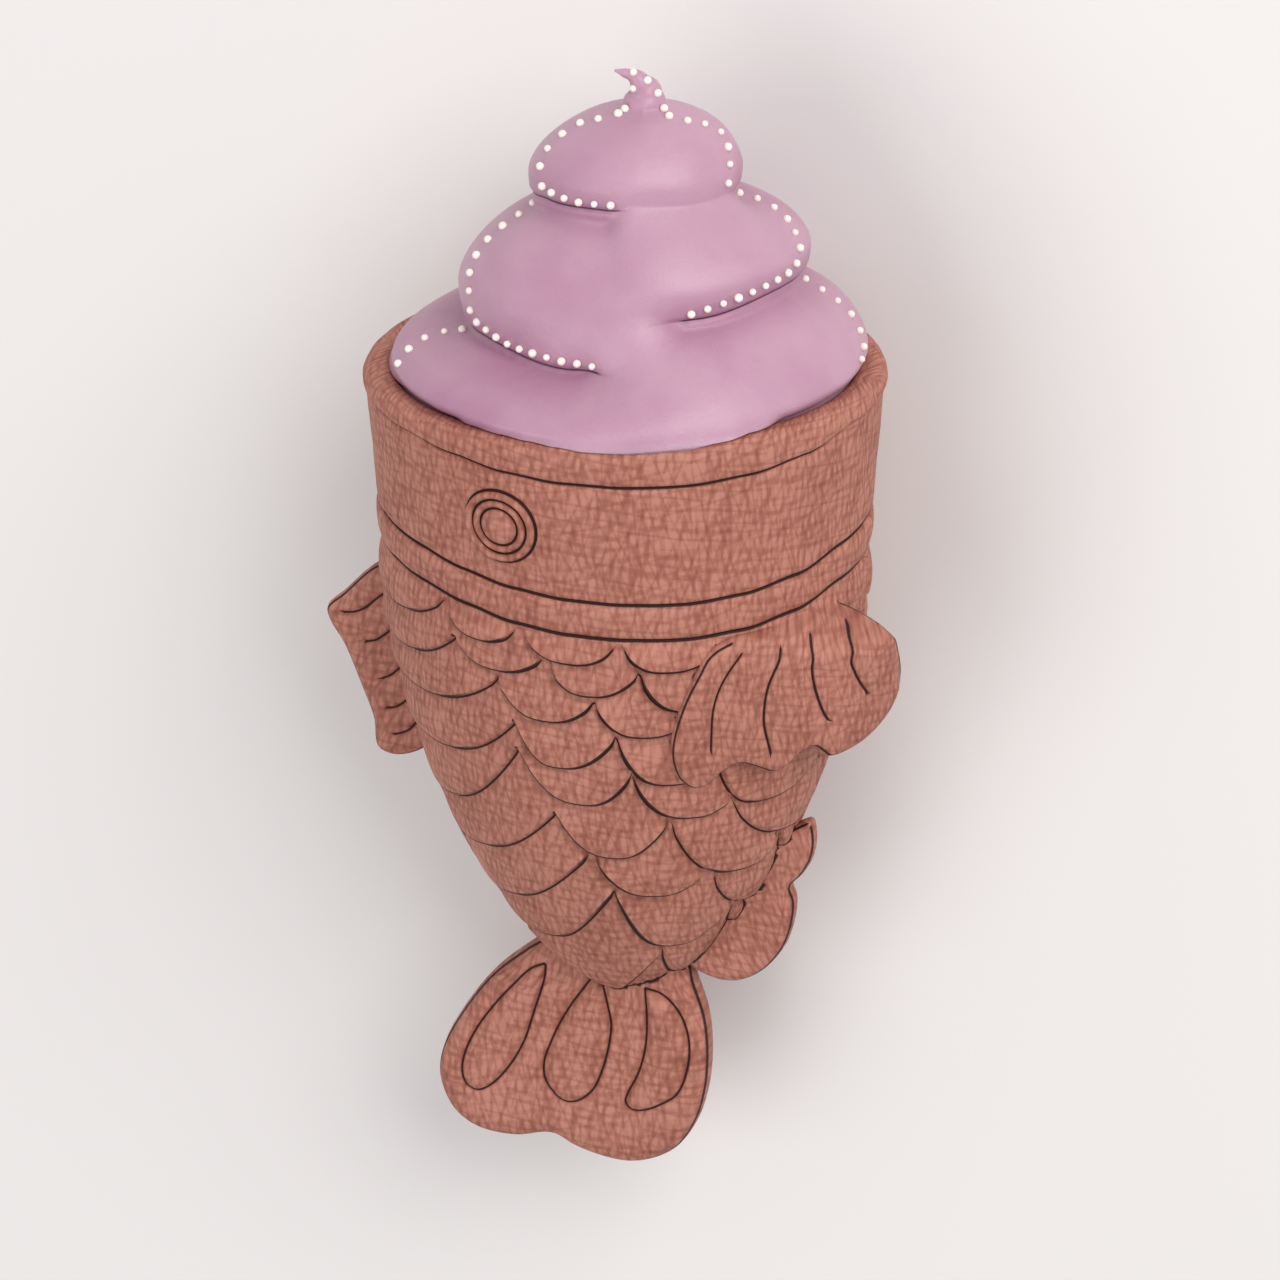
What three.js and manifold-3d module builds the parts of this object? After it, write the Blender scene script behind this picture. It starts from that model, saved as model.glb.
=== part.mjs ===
// An open-mouthed taiyaki with soft serve: a fish-shaped waffle cup and the swirl of ice cream in its mouth.
// It lies on its flank, as it can't stand unheld, on a small flat spot under the lip and the belly.
//
// Everything is modelled in the fish's own frame, in millimetres, before the fish is laid down:
//   +X to the belly, +Y along the fish's axis to the mouth, +Z to the upper flank.
// A station is a place along +Y, 0 at the rim of the mouth and negative on the fish.
// An angle runs round the axis, 0 at the upper flank and 90 degrees at the belly.
import * as THREE from 'three';
import { mergeVertices } from 'three/addons/utils/BufferGeometryUtils.js';
import Module from 'manifold-3d';

const wasm = await Module();
wasm.setup();

// ---- Driving dimensions, in millimetres and degrees ----

const FIT_GAP = 0.3; // between the ice cream and the waffle
const SECTORS = 48; // sides of the fish's body, a multiple of four

const cup = {
  halfDepth: 42.5, // back to belly, at the rim
  taper: 0.075, // half-depth lost for each millimetre from the rim
  straight: 36.5, // length before the body rounds off towards the tail
  length: 114,
  roundness: 1.6,
  flatness: 0.9, // flank half-width over half-depth, at the rim
  flatnessLoss: 0.1, // over the body's length
  wall: 4.6,
  skew: 1.0, // the rim stands this much higher at the belly, lower at the back
};

const gillLine = -34.4; // where the gill band ends and the scales begin
const lipLine = -6.9; // where the lip ends
const rimFoot = -1.6; // where it starts

// Each ring of the hollow and the head: its station, and how far it stands off the plain body.
const hollowFloor = -31.8;
const hollowRings = [[-31, -11.4], [-25, -cup.wall], [-13, -cup.wall], [-1.1, -cup.wall]];
const rimRings = [[-0.2, -3.9], [0, -2.2], [-0.3, -0.6], [-1.3, 0.2]];
const lipRings = [[-3.2, 0.55], [-5.4, 0.5], [-6.3, 0.2], [-6.9, -0.6], [-7.6, 0]];
const headRings = [[-13.5, 0], [-20.5, 0], [-27.2, 0]];
const gillRings = [[-28, -0.6], [-28.8, 0.3], [-31.2, 0.5], [-33.7, 0.3], [gillLine, -0.6], [-35.2, 0.1]];

const scales = {
  thickness: 1.1, // at the free edge
  middle: 0.6, // share of the thickness halfway up a scale
  tucked: 0.15, // share of it where the row above covers a scale
  step: 0.6, // length over which a free edge drops to the row below
  sides: [3.2, 2.3], // powers of a U's side towards the back and towards the belly
};

// How far the lip's and the gill's lines rise to the mouth: [angle in degrees, height].
const bow = [
  [-90, 3.8], [-60, 3.8], [-45, 3.5], [-30, 2.4], [-15, 1.2], [0, 0.45], [15, 0.1], [30, 0], [45, 0.6],
  [60, 1.8], [75, 3.8], [90, 4.2],
];

// The free edge of each row of scales, from the back to the belly, as [angle in degrees, station]: its joints
// and the lowest points of its Us take turns.
const scaleRows = [
  [
    [-90, -33.5], [-62, -38.6], [-36.6, -32.2], [-26, -37.8], [-13.4, -33.4], [1, -39.2], [13.8, -34.8],
    [27, -40.1], [41, -35.5], [56, -40.5], [72, -35], [90, -38.5],
  ],
  [
    [-90, -40], [-64, -46], [-33.8, -38.2], [-22, -42.7], [-6.4, -38.4], [6, -44.9], [19, -40.2], [33, -47.6],
    [48, -42.5], [63, -48], [79, -43], [90, -46],
  ],
  [
    [-90, -46.5], [-57, -52.6], [-21, -44], [-7.5, -50.7], [6.7, -46], [21, -52.5], [35, -48], [52, -56],
    [69, -50], [90, -56],
  ],
  [
    [-90, -54], [-55, -62.3], [-17, -52], [-5, -59.7], [12.7, -52.5], [29.5, -62.1], [42.5, -58], [63, -68.4],
    [80.5, -62], [90, -66],
  ],
  [
    [-90, -76], [-17.5, -57.5], [2, -66.8], [17, -60], [38.5, -69.3], [48.2, -66], [90, -77.8],
  ],
  [
    [-90, -84.3], [-8.3, -69.8], [12, -77.8], [29.8, -69.3], [66, -83.1], [75, -76.5], [90, -83],
  ],
  [
    [-90, -93.5], [-74, -94.2], [2.5, -77.3], [30, -86.4], [47.5, -80.5], [90, -92.5],
  ],
  [
    [-90, -97.5], [-52, -100.9], [10.5, -85.2], [47.5, -99.2], [68, -90.5], [90, -98],
  ],
  [
    [-90, -106], [-30, -110.5], [38.5, -99.8], [68, -109.5], [90, -106],
  ],
];

// The moulded line along the back and the belly: [station, height] tables and its half-width.
const seam = {
  width: 1.7,
  belly: [[-cup.length, 1.1], [-38, 1.1]],
  back: [[-cup.length, 1.4], [-106, 3.2], [-90, 4], [-80, 3.6], [-72, 2.4], [-64, 1.1], [-38, 1.1]],
};

// The eye, a raised ring round a domed pupil: [radius, height over the flank].
const eye = {
  angle: -17.4,
  station: -15.7,
  segments: 14,
  profile: [[0, -3], [6.4, -3], [6.4, 0.4], [5.7, 1.1], [4.9, 0.9], [4.2, 0.2], [3.6, 0.2], [2.8, 1.1], [0, 1.5]],
};

// Outlines of the flat fins in the plane of the axis: [belly, station].
const dorsalFin = {
  outline: [
    [-36, -43], [-41.2, -40.3], [-48.3, -46.5], [-51.2, -49.5], [-50.6, -52.1], [-48.4, -55.7],
    [-45.6, -62.7], [-43.4, -68.9], [-42.7, -74.2], [-39.1, -75.4], [-33, -72], [-30, -57],
  ],
  centre: [-40.5, -57],
  halfThickness: 2.6,
  samples: 22,
};
const analFin = {
  outline: [
    [24, -84], [30, -79.6], [32.1, -78.8], [32.9, -81.9], [32.4, -85.6], [30.7, -88.9], [28.9, -91.2],
    [29.6, -93.6], [29.3, -97.9], [27.7, -102.8], [24.2, -107.5], [19.9, -110], [15.6, -110],
    [11, -107.4], [9, -100],
  ],
  centre: [22, -97],
  halfThickness: 2.8,
  samples: 26,
};
const tailFin = {
  outline: [
    [-13, -105.6], [-18.4, -109.6], [-23.3, -114.4], [-28.4, -121.9], [-31.6, -128.4], [-32.6, -133.6],
    [-31.6, -138], [-29.2, -141.6], [-25.2, -143.9], [-18.8, -144.5], [-12.2, -143.2], [-8.9, -144.8],
    [-4.5, -146.2], [0.8, -146.8], [5.2, -145.8], [9.6, -142.9], [13.1, -137], [14.8, -130.1],
    [15.1, -122.4], [14.4, -116.8], [12.6, -111.2], [11, -106], [0, -101],
  ],
  centre: [-8, -127],
  halfThickness: 4.4,
  samples: 40,
};
const tailPads = [
  {
    outline: [
      [-12.8, -109.5], [-15.4, -110.9], [-18.4, -114.2], [-21.8, -118.5], [-24.9, -123.3], [-27, -128],
      [-27.7, -131.7], [-27, -134.2], [-25, -135.3], [-22.6, -134], [-19.5, -130.2], [-16.8, -125.1],
      [-14.8, -118.6], [-13, -112.2],
    ],
    centre: [-20.5, -123.5],
  },
  {
    outline: [
      [-4.2, -110.2], [-6, -113.1], [-8.2, -116.5], [-10.4, -120.6], [-12.1, -124.8], [-13.1, -127.9],
      [-13.1, -131.2], [-11.5, -133.9], [-9.5, -135.3], [-7.3, -135], [-4.7, -132.6], [-2.9, -128.3],
      [-1.7, -123], [-1.4, -119.4], [-1.9, -116.5], [-2.6, -113.2],
    ],
    centre: [-7.2, -124],
  },
  {
    outline: [
      [4.5, -111.9], [4.8, -116.4], [4.8, -120.7], [4.3, -124.8], [3.1, -128.9], [1.6, -132.1], [1.1, -134],
      [2.3, -135.3], [4.7, -135.1], [7.3, -133.7], [10, -131.5], [11.8, -126.7], [12.2, -121.9],
      [11.3, -117.6], [9.6, -114.6], [7.3, -112.6],
    ],
    centre: [7.4, -124],
  },
];
const padHeight = 0.8;
const padSamples = 14;

// The fin on each flank: [angle, station] of its outline. Its lower lobe stands free of the upper flank, and
// lies flat on the flank underneath, so that the fish doesn't rock on it.
const pectoralFin = {
  outline: [
    [40, -34.8], [35.6, -36.8], [33.4, -39.8], [30.3, -44.6], [28, -50.4], [27.5, -54.5], [28.4, -57.6],
    [30.5, -60.3], [34.5, -62.2], [38.3, -61.9], [42.3, -59.2], [45.7, -57.9], [51.1, -59.2], [53.8, -60],
    [56.2, -59.5], [59.1, -56.7], [61.3, -55.7], [63.2, -56.8], [65.7, -58.4], [70.8, -57.7], [76.2, -55.4],
    [79.8, -52.3], [81.2, -47.4], [79.4, -42.4], [77.7, -39], [76, -35.4], [72.4, -32.9], [66, -33],
    [53, -34],
  ],
  centre: [53, -47],
  samples: 30,
  thickness: 3.2,
  flareFrom: 38, // degrees
  flareTo: 82,
  rootStation: -34,
  rootLength: 5.5, // over which the free lobe leaves the gill
  // turn: degrees round the body, lift: of its middle off the flank, flare: added at the free lobe
  upper: { turn: 0, lift: 1.2, flare: 8.6 },
  lower: { turn: -9, lift: -0.4, flare: -1.2 },
};

// Rings of a fin from its middle to its rounded edge: share of the way to its outline, share of its thickness.
const finRings = [[0.6, 1], [0.92, 0.68]];

const swirl = {
  facing: 15, // degrees towards the belly, where the ropes of cream end
  sectors: 44,
  crown: 44, // station of the top of the last tier, where the curl begins
  blend: 22, // degrees each way over which a rope runs out at the front
  sharp: 0.6, // rounding of a crease
  faded: 13, // rounding where a crease runs out
  upperFade: [338, 60, 85], // azimuths between which the upper crease has run out, and where it is back
  depth: 0.88, // of the upper tiers, front to back, over their width
  roundFrom: 18, // height where the cream has lost the outline of the mouth
  bulge: 3, // height over which the cream swells from its seat on the rim to its full width
};
// Shares of the radius at the rim: the mean, then waves of one and two turns.
const waves = [0.975, 0.01, -0.012];
// Where the cream's edge lies on the rim: [azimuth from the swirl's front, how far outside the plain body].
const seat = [
  [0, 0.1], [14, 0], [24, -0.5], [32, -1.6], [45, -4.6], [60, -4.85], [100, -4.4], [180, -4.4], [262, -4],
  [276, -4], [288, -4.85], [300, -4.85], [310, -3.8], [318, -2.4], [328, -1.5], [336, -0.9], [343, -0.35],
  [350, 0], [360, 0.1],
];
const seatRings = [0.3, 0.65, 1]; // shares of the way from the plug to that edge
// The tiers from the rim up. shift: of the axis to the belly side, top: share of the radius at its upper
// crease, fall: power of the shoulder, widest: share of its height where it is widest.
const tiers = [
  { radius: 39.2, shift: 0.9, top: 0.6, fall: 1.7, widest: 0.15 },
  { radius: 28.5, shift: 1.6, top: 0.31, fall: 1.6, widest: 0.3 },
  { radius: 17.3, shift: 1.8, top: 0.1, fall: 1.6, widest: 0.24 },
];
const tuck = { share: 0.05, height: 5 }; // how far a tier draws in below where it is widest
// Creases: [azimuth from the swirl's front, height over the rim].
const lowerCrease = [
  [0, 15.6], [25, 15.8], [60, 17.4], [90, 16.4], [135, 13.8], [180, 10.8], [225, 8.8], [270, 7.7], [300, 8.7],
  [335, 7.5], [360, 7.2],
];
const upperCrease = [
  [0, 31.6], [45, 31.2], [90, 31], [180, 30.2], [270, 29.4], [300, 30.7], [340, 31.1], [360, 31.6],
];
// The curl on top: [shift, height, radius].
const curl = [[3.25, 44, 3.7], [3.1, 46.6, 2.7], [1.7, 48.5, 1.55], [-0.2, 49.3, 0.8], [-1.7, 49.7, 0.2]];
// Rings of cream, as shares of the height of each tier, and of the curl's length.
const tierRings = [
  [0.22, 0.45, 0.66, 0.83, 0.94, 1],
  [0.06, 0.2, 0.38, 0.57, 0.75, 0.9, 1],
  [0.08, 0.26, 0.47, 0.68, 0.84, 0.95],
];
const curlRings = [0.06, 0.3, 0.55, 0.78];

const pearl = { radius: 0.85, sunk: 0.1, spacing: 2.9, rowSpacing: 2.5, facingBack: -0.12 };
// Strings of pearls on the front, each as [azimuth, height over the rim]: up the swirl's sides, and on its
// creases. The like run over its back, with the same shares of the height between the creases.
const garlands = [
  [[44, 43.3], [58, 42.6], [72, 41.6], [78, 40], [71, 38.2], [65, 36.2], [61, 33.6]],
  [[-52, 43.4], [-67, 42.4], [-77, 41.2], [-77, 39.4], [-74, 37.6], [-68, 35.6], [-62, 33]],
  [[85, 29.2], [87, 27.8], [85, 26.6], [82, 25.6], [76, 24], [71, 22.2], [67, 21]],
  [[-84, 27.8], [-84, 25.4], [-82, 23.8], [-81, 22], [-78, 19.8], [-74, 17.6], [-70, 15.6], [-69, 12.6]],
  [[86, 14.6], [85, 13], [85, 11.4], [85, 9.8], [83, 8], [80, 5.8], [74, 4.3]],
  [[-78, 2.4], [-82, 4.2], [-84, 5.4], [-83, 6.3], [-80, 7]],
];
const rows = [
  [[62, 20.2], [49, 19.5], [42, 19.1], [35, 18.6], [29, 18.1], [21, 17.3]],
  [[-65, 11.2], [-55, 10.4], [-49, 9.9], [-41, 9.7], [-34, 9.6], [-27, 9.3], [-14, 9.2]],
  [[-54, 32.6], [-43, 32.3], [-34, 32.2], [-26, 32.3], [-15, 32.4]],
];
// Strings on the curl: azimuth and the shares of its length between which they run.
const tips = [[-60, 0.05, 0.52], [62, 0.08, 0.7]];

const laid = {
  tilt: 5.2, // degrees that the mouth is raised
  mouth: new THREE.Vector3(1.5, 47.8, 38.1), // where the centre of the mouth lies
};

const colours = { waffle: 0xaf7464, cream: 0xd1a6ba };

// ---- Small helpers ----

const { degToRad, radToDeg, clamp, lerp } = THREE.MathUtils;

const smooth = (x) => {
  const t = clamp(x, 0, 1);
  return t * t * (3 - 2 * t);
};

/** Value of a table of [place, value] pairs at a place, eased between the pairs. */
function along(table, place) {
  const next = table.findIndex(([at]) => at >= place);
  if (next <= 0) return table[next === 0 ? 0 : table.length - 1][1];
  const [from, low] = table[next - 1];
  const [to, high] = table[next];
  return lerp(low, high, smooth((place - from) / (to - from)));
}

/** The larger of two radii, with the corner between them filled over a width. */
function softMax(a, b, width) {
  const overlap = Math.max(width - Math.abs(a - b), 0) / width;
  return Math.max(a, b) + (overlap * overlap * width) / 4;
}

/** A closed solid through rings of equal length, with a point at each end. */
function loft(rings, firstPoint, lastPoint) {
  const count = rings[0].length;
  const points = [firstPoint, ...rings.flat(), lastPoint];
  const at = (ring, i) => 1 + ring * count + (i % count);
  const index = [];
  for (let i = 0; i < count; i += 1) {
    index.push(0, at(0, i), at(0, i + 1));
    for (let ring = 0; ring + 1 < rings.length; ring += 1) {
      index.push(at(ring, i), at(ring + 1, i), at(ring, i + 1));
      index.push(at(ring, i + 1), at(ring + 1, i), at(ring + 1, i + 1));
    }
    index.push(points.length - 1, at(rings.length - 1, i + 1), at(rings.length - 1, i));
  }
  const geometry = new THREE.BufferGeometry().setFromPoints(points);
  geometry.setIndex(index);
  return geometry;
}

/** A geometry as a manifold solid with its faces pointing out. */
function solid(geometry) {
  const bare = geometry.clone();
  ['normal', 'uv'].forEach((name) => bare.deleteAttribute(name));
  const merged = mergeVertices(bare, 1e-4);
  const vertProperties = new Float32Array(merged.attributes.position.array);
  const triVerts = new Uint32Array(merged.index.array);
  const made = new wasm.Manifold(new wasm.Mesh({ numProp: 3, vertProperties, triVerts }));
  if (made.volume() > 0) return made;
  for (let i = 0; i < triVerts.length; i += 3) [triVerts[i], triVerts[i + 1]] = [triVerts[i + 1], triVerts[i]];
  return new wasm.Manifold(new wasm.Mesh({ numProp: 3, vertProperties, triVerts }));
}

/** A manifold solid as a named mesh. */
function named(name, manifold, color, roughness) {
  const mesh = manifold.getMesh();
  const geometry = new THREE.BufferGeometry();
  geometry.setAttribute('position', new THREE.BufferAttribute(new Float32Array(mesh.vertProperties), 3));
  geometry.setIndex(new THREE.BufferAttribute(new Uint32Array(mesh.triVerts), 1));
  geometry.computeVertexNormals();
  const made = new THREE.Mesh(geometry, new THREE.MeshStandardMaterial({ color, roughness, metalness: 0 }));
  made.name = name;
  return made;
}

/** Points spaced evenly on a closed smooth curve through an outline. */
function closedCurve(outline, samples) {
  const points = outline.map(([x, y]) => new THREE.Vector3(x, y, 0));
  return new THREE.CatmullRomCurve3(points, true, 'centripetal').getSpacedPoints(samples).slice(0, samples);
}

/**
 * A plate with rounded edges. Its two faces are rings between its centre and its outline; place turns a
 * point of the plate, its face (1 or -1) and its share of the thickness into a point of the fish.
 */
function plate({ outline, centre, samples }, place) {
  const rim = closedCurve(outline, samples);
  const ring = (share, face, height) =>
    rim.map(({ x, y }) => place(lerp(centre[0], x, share), lerp(centre[1], y, share), face, height));
  const rings = [
    ...finRings.map(([share, height]) => ring(share, 1, height)),
    ring(1, 0, 0),
    ...finRings.toReversed().map(([share, height]) => ring(share, -1, height)),
  ];
  return loft(rings, place(...centre, 1, 1), place(...centre, -1, 1));
}

// ---- The waffle ----

/** Half-depth of the plain body, back to belly. */
function halfDepth(station) {
  const gone = clamp((-station - cup.straight) / (cup.length - cup.straight), 0, 1);
  return (cup.halfDepth + cup.taper * station) * (1 - gone ** 2) ** (1 / cup.roundness);
}

/** Radius of the plain body. */
function bodyRadius(angle, station) {
  const depth = Math.max(halfDepth(station), 0.01);
  const width = depth * (cup.flatness - (cup.flatnessLoss * -station) / cup.length);
  return 1 / Math.hypot(Math.sin(angle) / depth, Math.cos(angle) / width);
}

/** How far the skewed mouth lifts the rings of the head. */
function skew(angle, station) {
  return cup.skew * Math.sin(angle) * clamp(1 - station / gillLine, 0, 1);
}

/** A point of the body, standing off its plain surface. */
function bodyPoint(angle, station, lift = 0) {
  const radius = bodyRadius(angle, station) + lift;
  return new THREE.Vector3(radius * Math.sin(angle), station + skew(angle, station), radius * Math.cos(angle));
}

/** An angle in degrees on one flank, from -90 at the back to 90 at the belly. */
function foldedDegrees(angle) {
  return radToDeg(Math.atan2(Math.sin(angle), Math.abs(Math.cos(angle))));
}

/** How far a line of the head rises at its angle: nothing at the rim, all below the lip. */
function rise(angle, station) {
  return along(bow, foldedDegrees(angle)) * clamp((station - rimFoot) / (lipLine - rimFoot), 0, 1);
}

/** Station of the free edge of a row of scales, which is a row of Us. */
function scaleEdge(row, angle) {
  const place = foldedDegrees(angle);
  const next = Math.max(row.findIndex(([at]) => at >= place - 1e-9), 1);
  const [[from, back], [to, belly]] = row.slice(next - 1, next + 1);
  const share = clamp((place - from) / (to - from), 0, 1);
  return back < belly
    ? lerp(back, belly, share ** scales.sides[1])
    : lerp(belly, back, (1 - share) ** scales.sides[0]);
}

/** The seam that the two halves of the iron leave along the back and the belly. */
function seamHeight(angle, station) {
  const offPlane = Math.abs(Math.cos(angle)) * bodyRadius(angle, station);
  const height = along(Math.sin(angle) > 0 ? seam.belly : seam.back, station);
  return height * Math.exp(-((offPlane / seam.width) ** 2));
}

function fishBody() {
  const angles = Array.from({ length: SECTORS }, (_, i) => (i / SECTORS) * 2 * Math.PI);
  const hollow = hollowRings.map(([station, lift]) => angles.map((angle) => bodyPoint(angle, station, lift)));
  const head = [...rimRings, ...lipRings, ...headRings, ...gillRings].map(([station, lift]) =>
    angles.map((angle) => bodyPoint(angle, station + rise(angle, station), lift)));
  const columns = angles.map((angle) => {
    const column = [];
    const gill = gillRings.at(-1)[0];
    let above = gill + rise(angle, gill);
    for (const row of scaleRows) {
      const edge = Math.min(scaleEdge(row, angle), above - scales.step);
      column.push([lerp(above, edge, 0.5), scales.middle], [edge, 1], [edge - scales.step, scales.tucked]);
      above = edge - scales.step;
    }
    return [...column, [lerp(above, -cup.length, 0.5), 0]];
  });
  const flank = columns[0].map((_, ring) => angles.map((angle, i) => {
    const [station, share] = columns[i][ring];
    return bodyPoint(angle, station, Math.max(share * scales.thickness, seamHeight(angle, station)));
  }));
  return loft([...hollow, ...head, ...flank], new THREE.Vector3(0, hollowFloor, 0), new THREE.Vector3(0, -cup.length, 0));
}

/** An eye, turned on its axis and set on the flank. */
function eyeOn(face) {
  const profile = eye.profile.map(([radius, height]) => new THREE.Vector2(radius, height));
  const made = new THREE.LatheGeometry(profile, eye.segments);
  const angle = degToRad(eye.angle);
  const at = bodyPoint(angle, eye.station);
  const out = new THREE.Vector3(Math.sin(angle), -cup.taper, Math.cos(angle)).normalize();
  made.applyQuaternion(new THREE.Quaternion().setFromUnitVectors(new THREE.Vector3(0, 1, 0), out));
  made.translate(at.x, at.y, at.z);
  return made.scale(1, 1, face);
}

/** A flat fin in the plane of the axis. */
function flatFin(fin) {
  return plate(fin, (x, y, face, height) => new THREE.Vector3(x, y, face * fin.halfThickness * height));
}

/** The pectoral fin of the upper flank (face 1) or the lower (-1). */
function pectoralOn(face) {
  const fin = pectoralFin;
  const { turn, lift, flare } = face > 0 ? fin.upper : fin.lower;
  const made = plate(fin, (degrees, station, side, height) => {
    const outward = smooth((degrees - fin.flareFrom) / (fin.flareTo - fin.flareFrom));
    const down = smooth((fin.rootStation - station) / fin.rootLength);
    const middle = lift + flare * outward * down;
    return bodyPoint(degToRad(degrees + turn), station, middle + (side * height * fin.thickness) / 2);
  });
  return made.scale(1, 1, face);
}

function waffleFish() {
  const parts = [fishBody(), flatFin(dorsalFin), flatFin(analFin), flatFin(tailFin)];
  for (const face of [1, -1]) parts.push(eyeOn(face), pectoralOn(face));
  for (const pad of tailPads) {
    parts.push(flatFin({ ...pad, samples: padSamples, halfThickness: tailFin.halfThickness + padHeight }));
  }
  return wasm.Manifold.union(parts.map(solid));
}

// ---- The soft serve ----

/** Radius of one tier at a height, between its crease below and its crease above. */
function tierRadius(tier, below, above, height) {
  const widest = lerp(below, above, tier.widest);
  if (height <= widest) {
    const under = clamp((widest - height) / Math.max(widest - below, tuck.height), 0, 1);
    return tier.radius * (1 - tuck.share * under ** 2);
  }
  const reach = (1 - tier.top ** 2) ** (1 / tier.fall);
  const up = clamp((reach * (height - widest)) / (above - widest), 0, 1);
  return tier.radius * Math.sqrt(Math.max(1 - up ** tier.fall, 0));
}

/** Radius of the swirl's ropes at an azimuth from 0 to 360, with the creases fading where they run out. */
function ropeRadius(place, height) {
  const low = along(lowerCrease, place);
  const high = along(upperCrease, place);
  const [gone, from, back] = swirl.upperFade;
  const lowFade = smooth(1 - Math.min(place, 360 - place) / swirl.blend);
  const highFade = Math.max(smooth((place - gone) / (360 - gone)), smooth((back - Math.max(place, from)) / (back - from)));
  const bottom = tierRadius(tiers[0], 0, low, height);
  const middle = tierRadius(tiers[1], low, high, height);
  const top = tierRadius(tiers[2], high, swirl.crown, height);
  const lower = softMax(bottom, middle, lerp(swirl.sharp, swirl.faded, lowFade));
  return softMax(lower, top, lerp(swirl.sharp, swirl.faded, highFade));
}

/** A measure round the whole swirl: at the front the two ends of a rope melt into each other. */
function joinedUp(measure, azimuth) {
  const round = wrapped(azimuth);
  const off = round > 180 ? round - 360 : round;
  if (Math.abs(off) >= swirl.blend) return measure(round);
  const share = smooth((off + swirl.blend) / (2 * swirl.blend));
  return lerp(measure(Math.min(360 + off, 360)), measure(Math.max(off, 0)), share);
}

/** Sideways place of the swirl's axis at a height. */
function axisShift(height) {
  return along([[0, tiers[0].shift], [18, tiers[1].shift], [34, tiers[2].shift], [swirl.crown, curl[0][0]]], height);
}

/** Turns a place seen from the swirl's front (right, up, towards the front) into the fish's frame. */
function fromFront(right, up, near) {
  const turn = degToRad(swirl.facing);
  return new THREE.Vector3(
    right * Math.cos(turn) + near * Math.sin(turn), up, near * Math.cos(turn) - right * Math.sin(turn));
}

/** An azimuth from 0 to 360. */
const wrapped = (azimuth) => ((azimuth % 360) + 360) % 360;

/** Height just over the rim, at a place that stands off the plain body by a lift. */
function seatHeight(azimuth, lift) {
  const profile = [...rimRings, lipRings[0]].map(([station, at]) => [at, station]);
  const next = Math.max(profile.findIndex(([at]) => at >= lift), 1);
  const [[from, low], [to, high]] = profile.slice(next - 1, next + 1);
  const over = lerp(low, high, clamp((lift - from) / (to - from), 0, 1));
  return over + FIT_GAP + 0.15 + cup.skew * Math.sin(degToRad(azimuth + swirl.facing));
}

/** A point of the swirl's surface. */
function creamPoint(azimuth, height) {
  const turn = degToRad(azimuth);
  const lift = along(seat, wrapped(azimuth));
  const edge = bodyRadius(turn + degToRad(swirl.facing), 0) + lift - tiers[0].shift * Math.sin(turn);
  const seated = waves.reduce((sum, share, i) => sum + share * Math.cos(i * turn), 0);
  const oval = 1 / Math.hypot(Math.sin(turn), Math.cos(turn) / swirl.depth);
  const squeeze = lerp(seated, oval, smooth(height / swirl.roundFrom));
  const wide = joinedUp((round) => ropeRadius(round, height), azimuth) * squeeze;
  const narrow = (1 - clamp((height - seatHeight(azimuth, lift)) / swirl.bulge, 0, 1)) ** 2;
  const radius = lerp(wide, edge, narrow);
  return fromFront(axisShift(height) + radius * Math.sin(turn), height, radius * Math.cos(turn));
}

/** Height of a crease at an azimuth. */
function creaseHeight(crease, azimuth) {
  return joinedUp((round) => along(crease, round), azimuth);
}

/** A point of the curl at a share of its length, on the ring square to it. */
function curlPoint(azimuth, share) {
  const spine = new THREE.CatmullRomCurve3(curl.map(([right, up]) => new THREE.Vector3(right, up, 0)));
  const centre = spine.getPoint(share);
  const lean = spine.getTangent(share);
  const radius = along(curl.map(([, , size], i) => [i / (curl.length - 1), size]), share);
  const side = radius * Math.sin(degToRad(azimuth));
  return fromFront(centre.x + side * lean.y, centre.y - side * lean.x, radius * Math.cos(degToRad(azimuth)));
}

function creamBody() {
  const azimuths = Array.from({ length: swirl.sectors }, (_, i) => (i / swirl.sectors) * 360);
  const rings = hollowRings.map(([station, lift]) => azimuths.map((azimuth) =>
    bodyPoint(degToRad(azimuth + swirl.facing), station + 2 * FIT_GAP, lift - FIT_GAP)));
  const inner = hollowRings.at(-1)[1] - FIT_GAP;
  rings.push(...seatRings.map((share) => azimuths.map((azimuth) => {
    const lift = lerp(inner, along(seat, azimuth), share);
    const height = seatHeight(azimuth, lift) - 0.1 * (1 - share);
    return bodyPoint(degToRad(azimuth + swirl.facing), 0, lift).setY(height);
  })));
  const levels = [
    (azimuth) => seatHeight(azimuth, along(seat, azimuth)),
    (azimuth) => creaseHeight(lowerCrease, azimuth),
    (azimuth) => creaseHeight(upperCrease, azimuth),
    () => swirl.crown,
  ];
  tierRings.forEach((shares, tier) => shares.forEach((share) => rings.push(azimuths.map((azimuth) =>
    creamPoint(azimuth, lerp(levels[tier](azimuth), levels[tier + 1](azimuth), share))))));
  curlRings.forEach((share) => rings.push(azimuths.map((azimuth) => curlPoint(azimuth, share))));
  const [shift, height] = curl.at(-1);
  return loft(rings, new THREE.Vector3(0, hollowFloor + 2 * FIT_GAP, 0), fromFront(shift, height, 0));
}

/** Points on a path, spaced evenly. */
function spaced(points, spacing) {
  const picked = [points[0]];
  let walked = 0;
  for (let i = 1; i < points.length; i += 1) {
    walked += points[i].distanceTo(points[i - 1]);
    if (walked >= spacing) {
      picked.push(points[i]);
      walked = 0;
    }
  }
  return picked;
}

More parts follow.
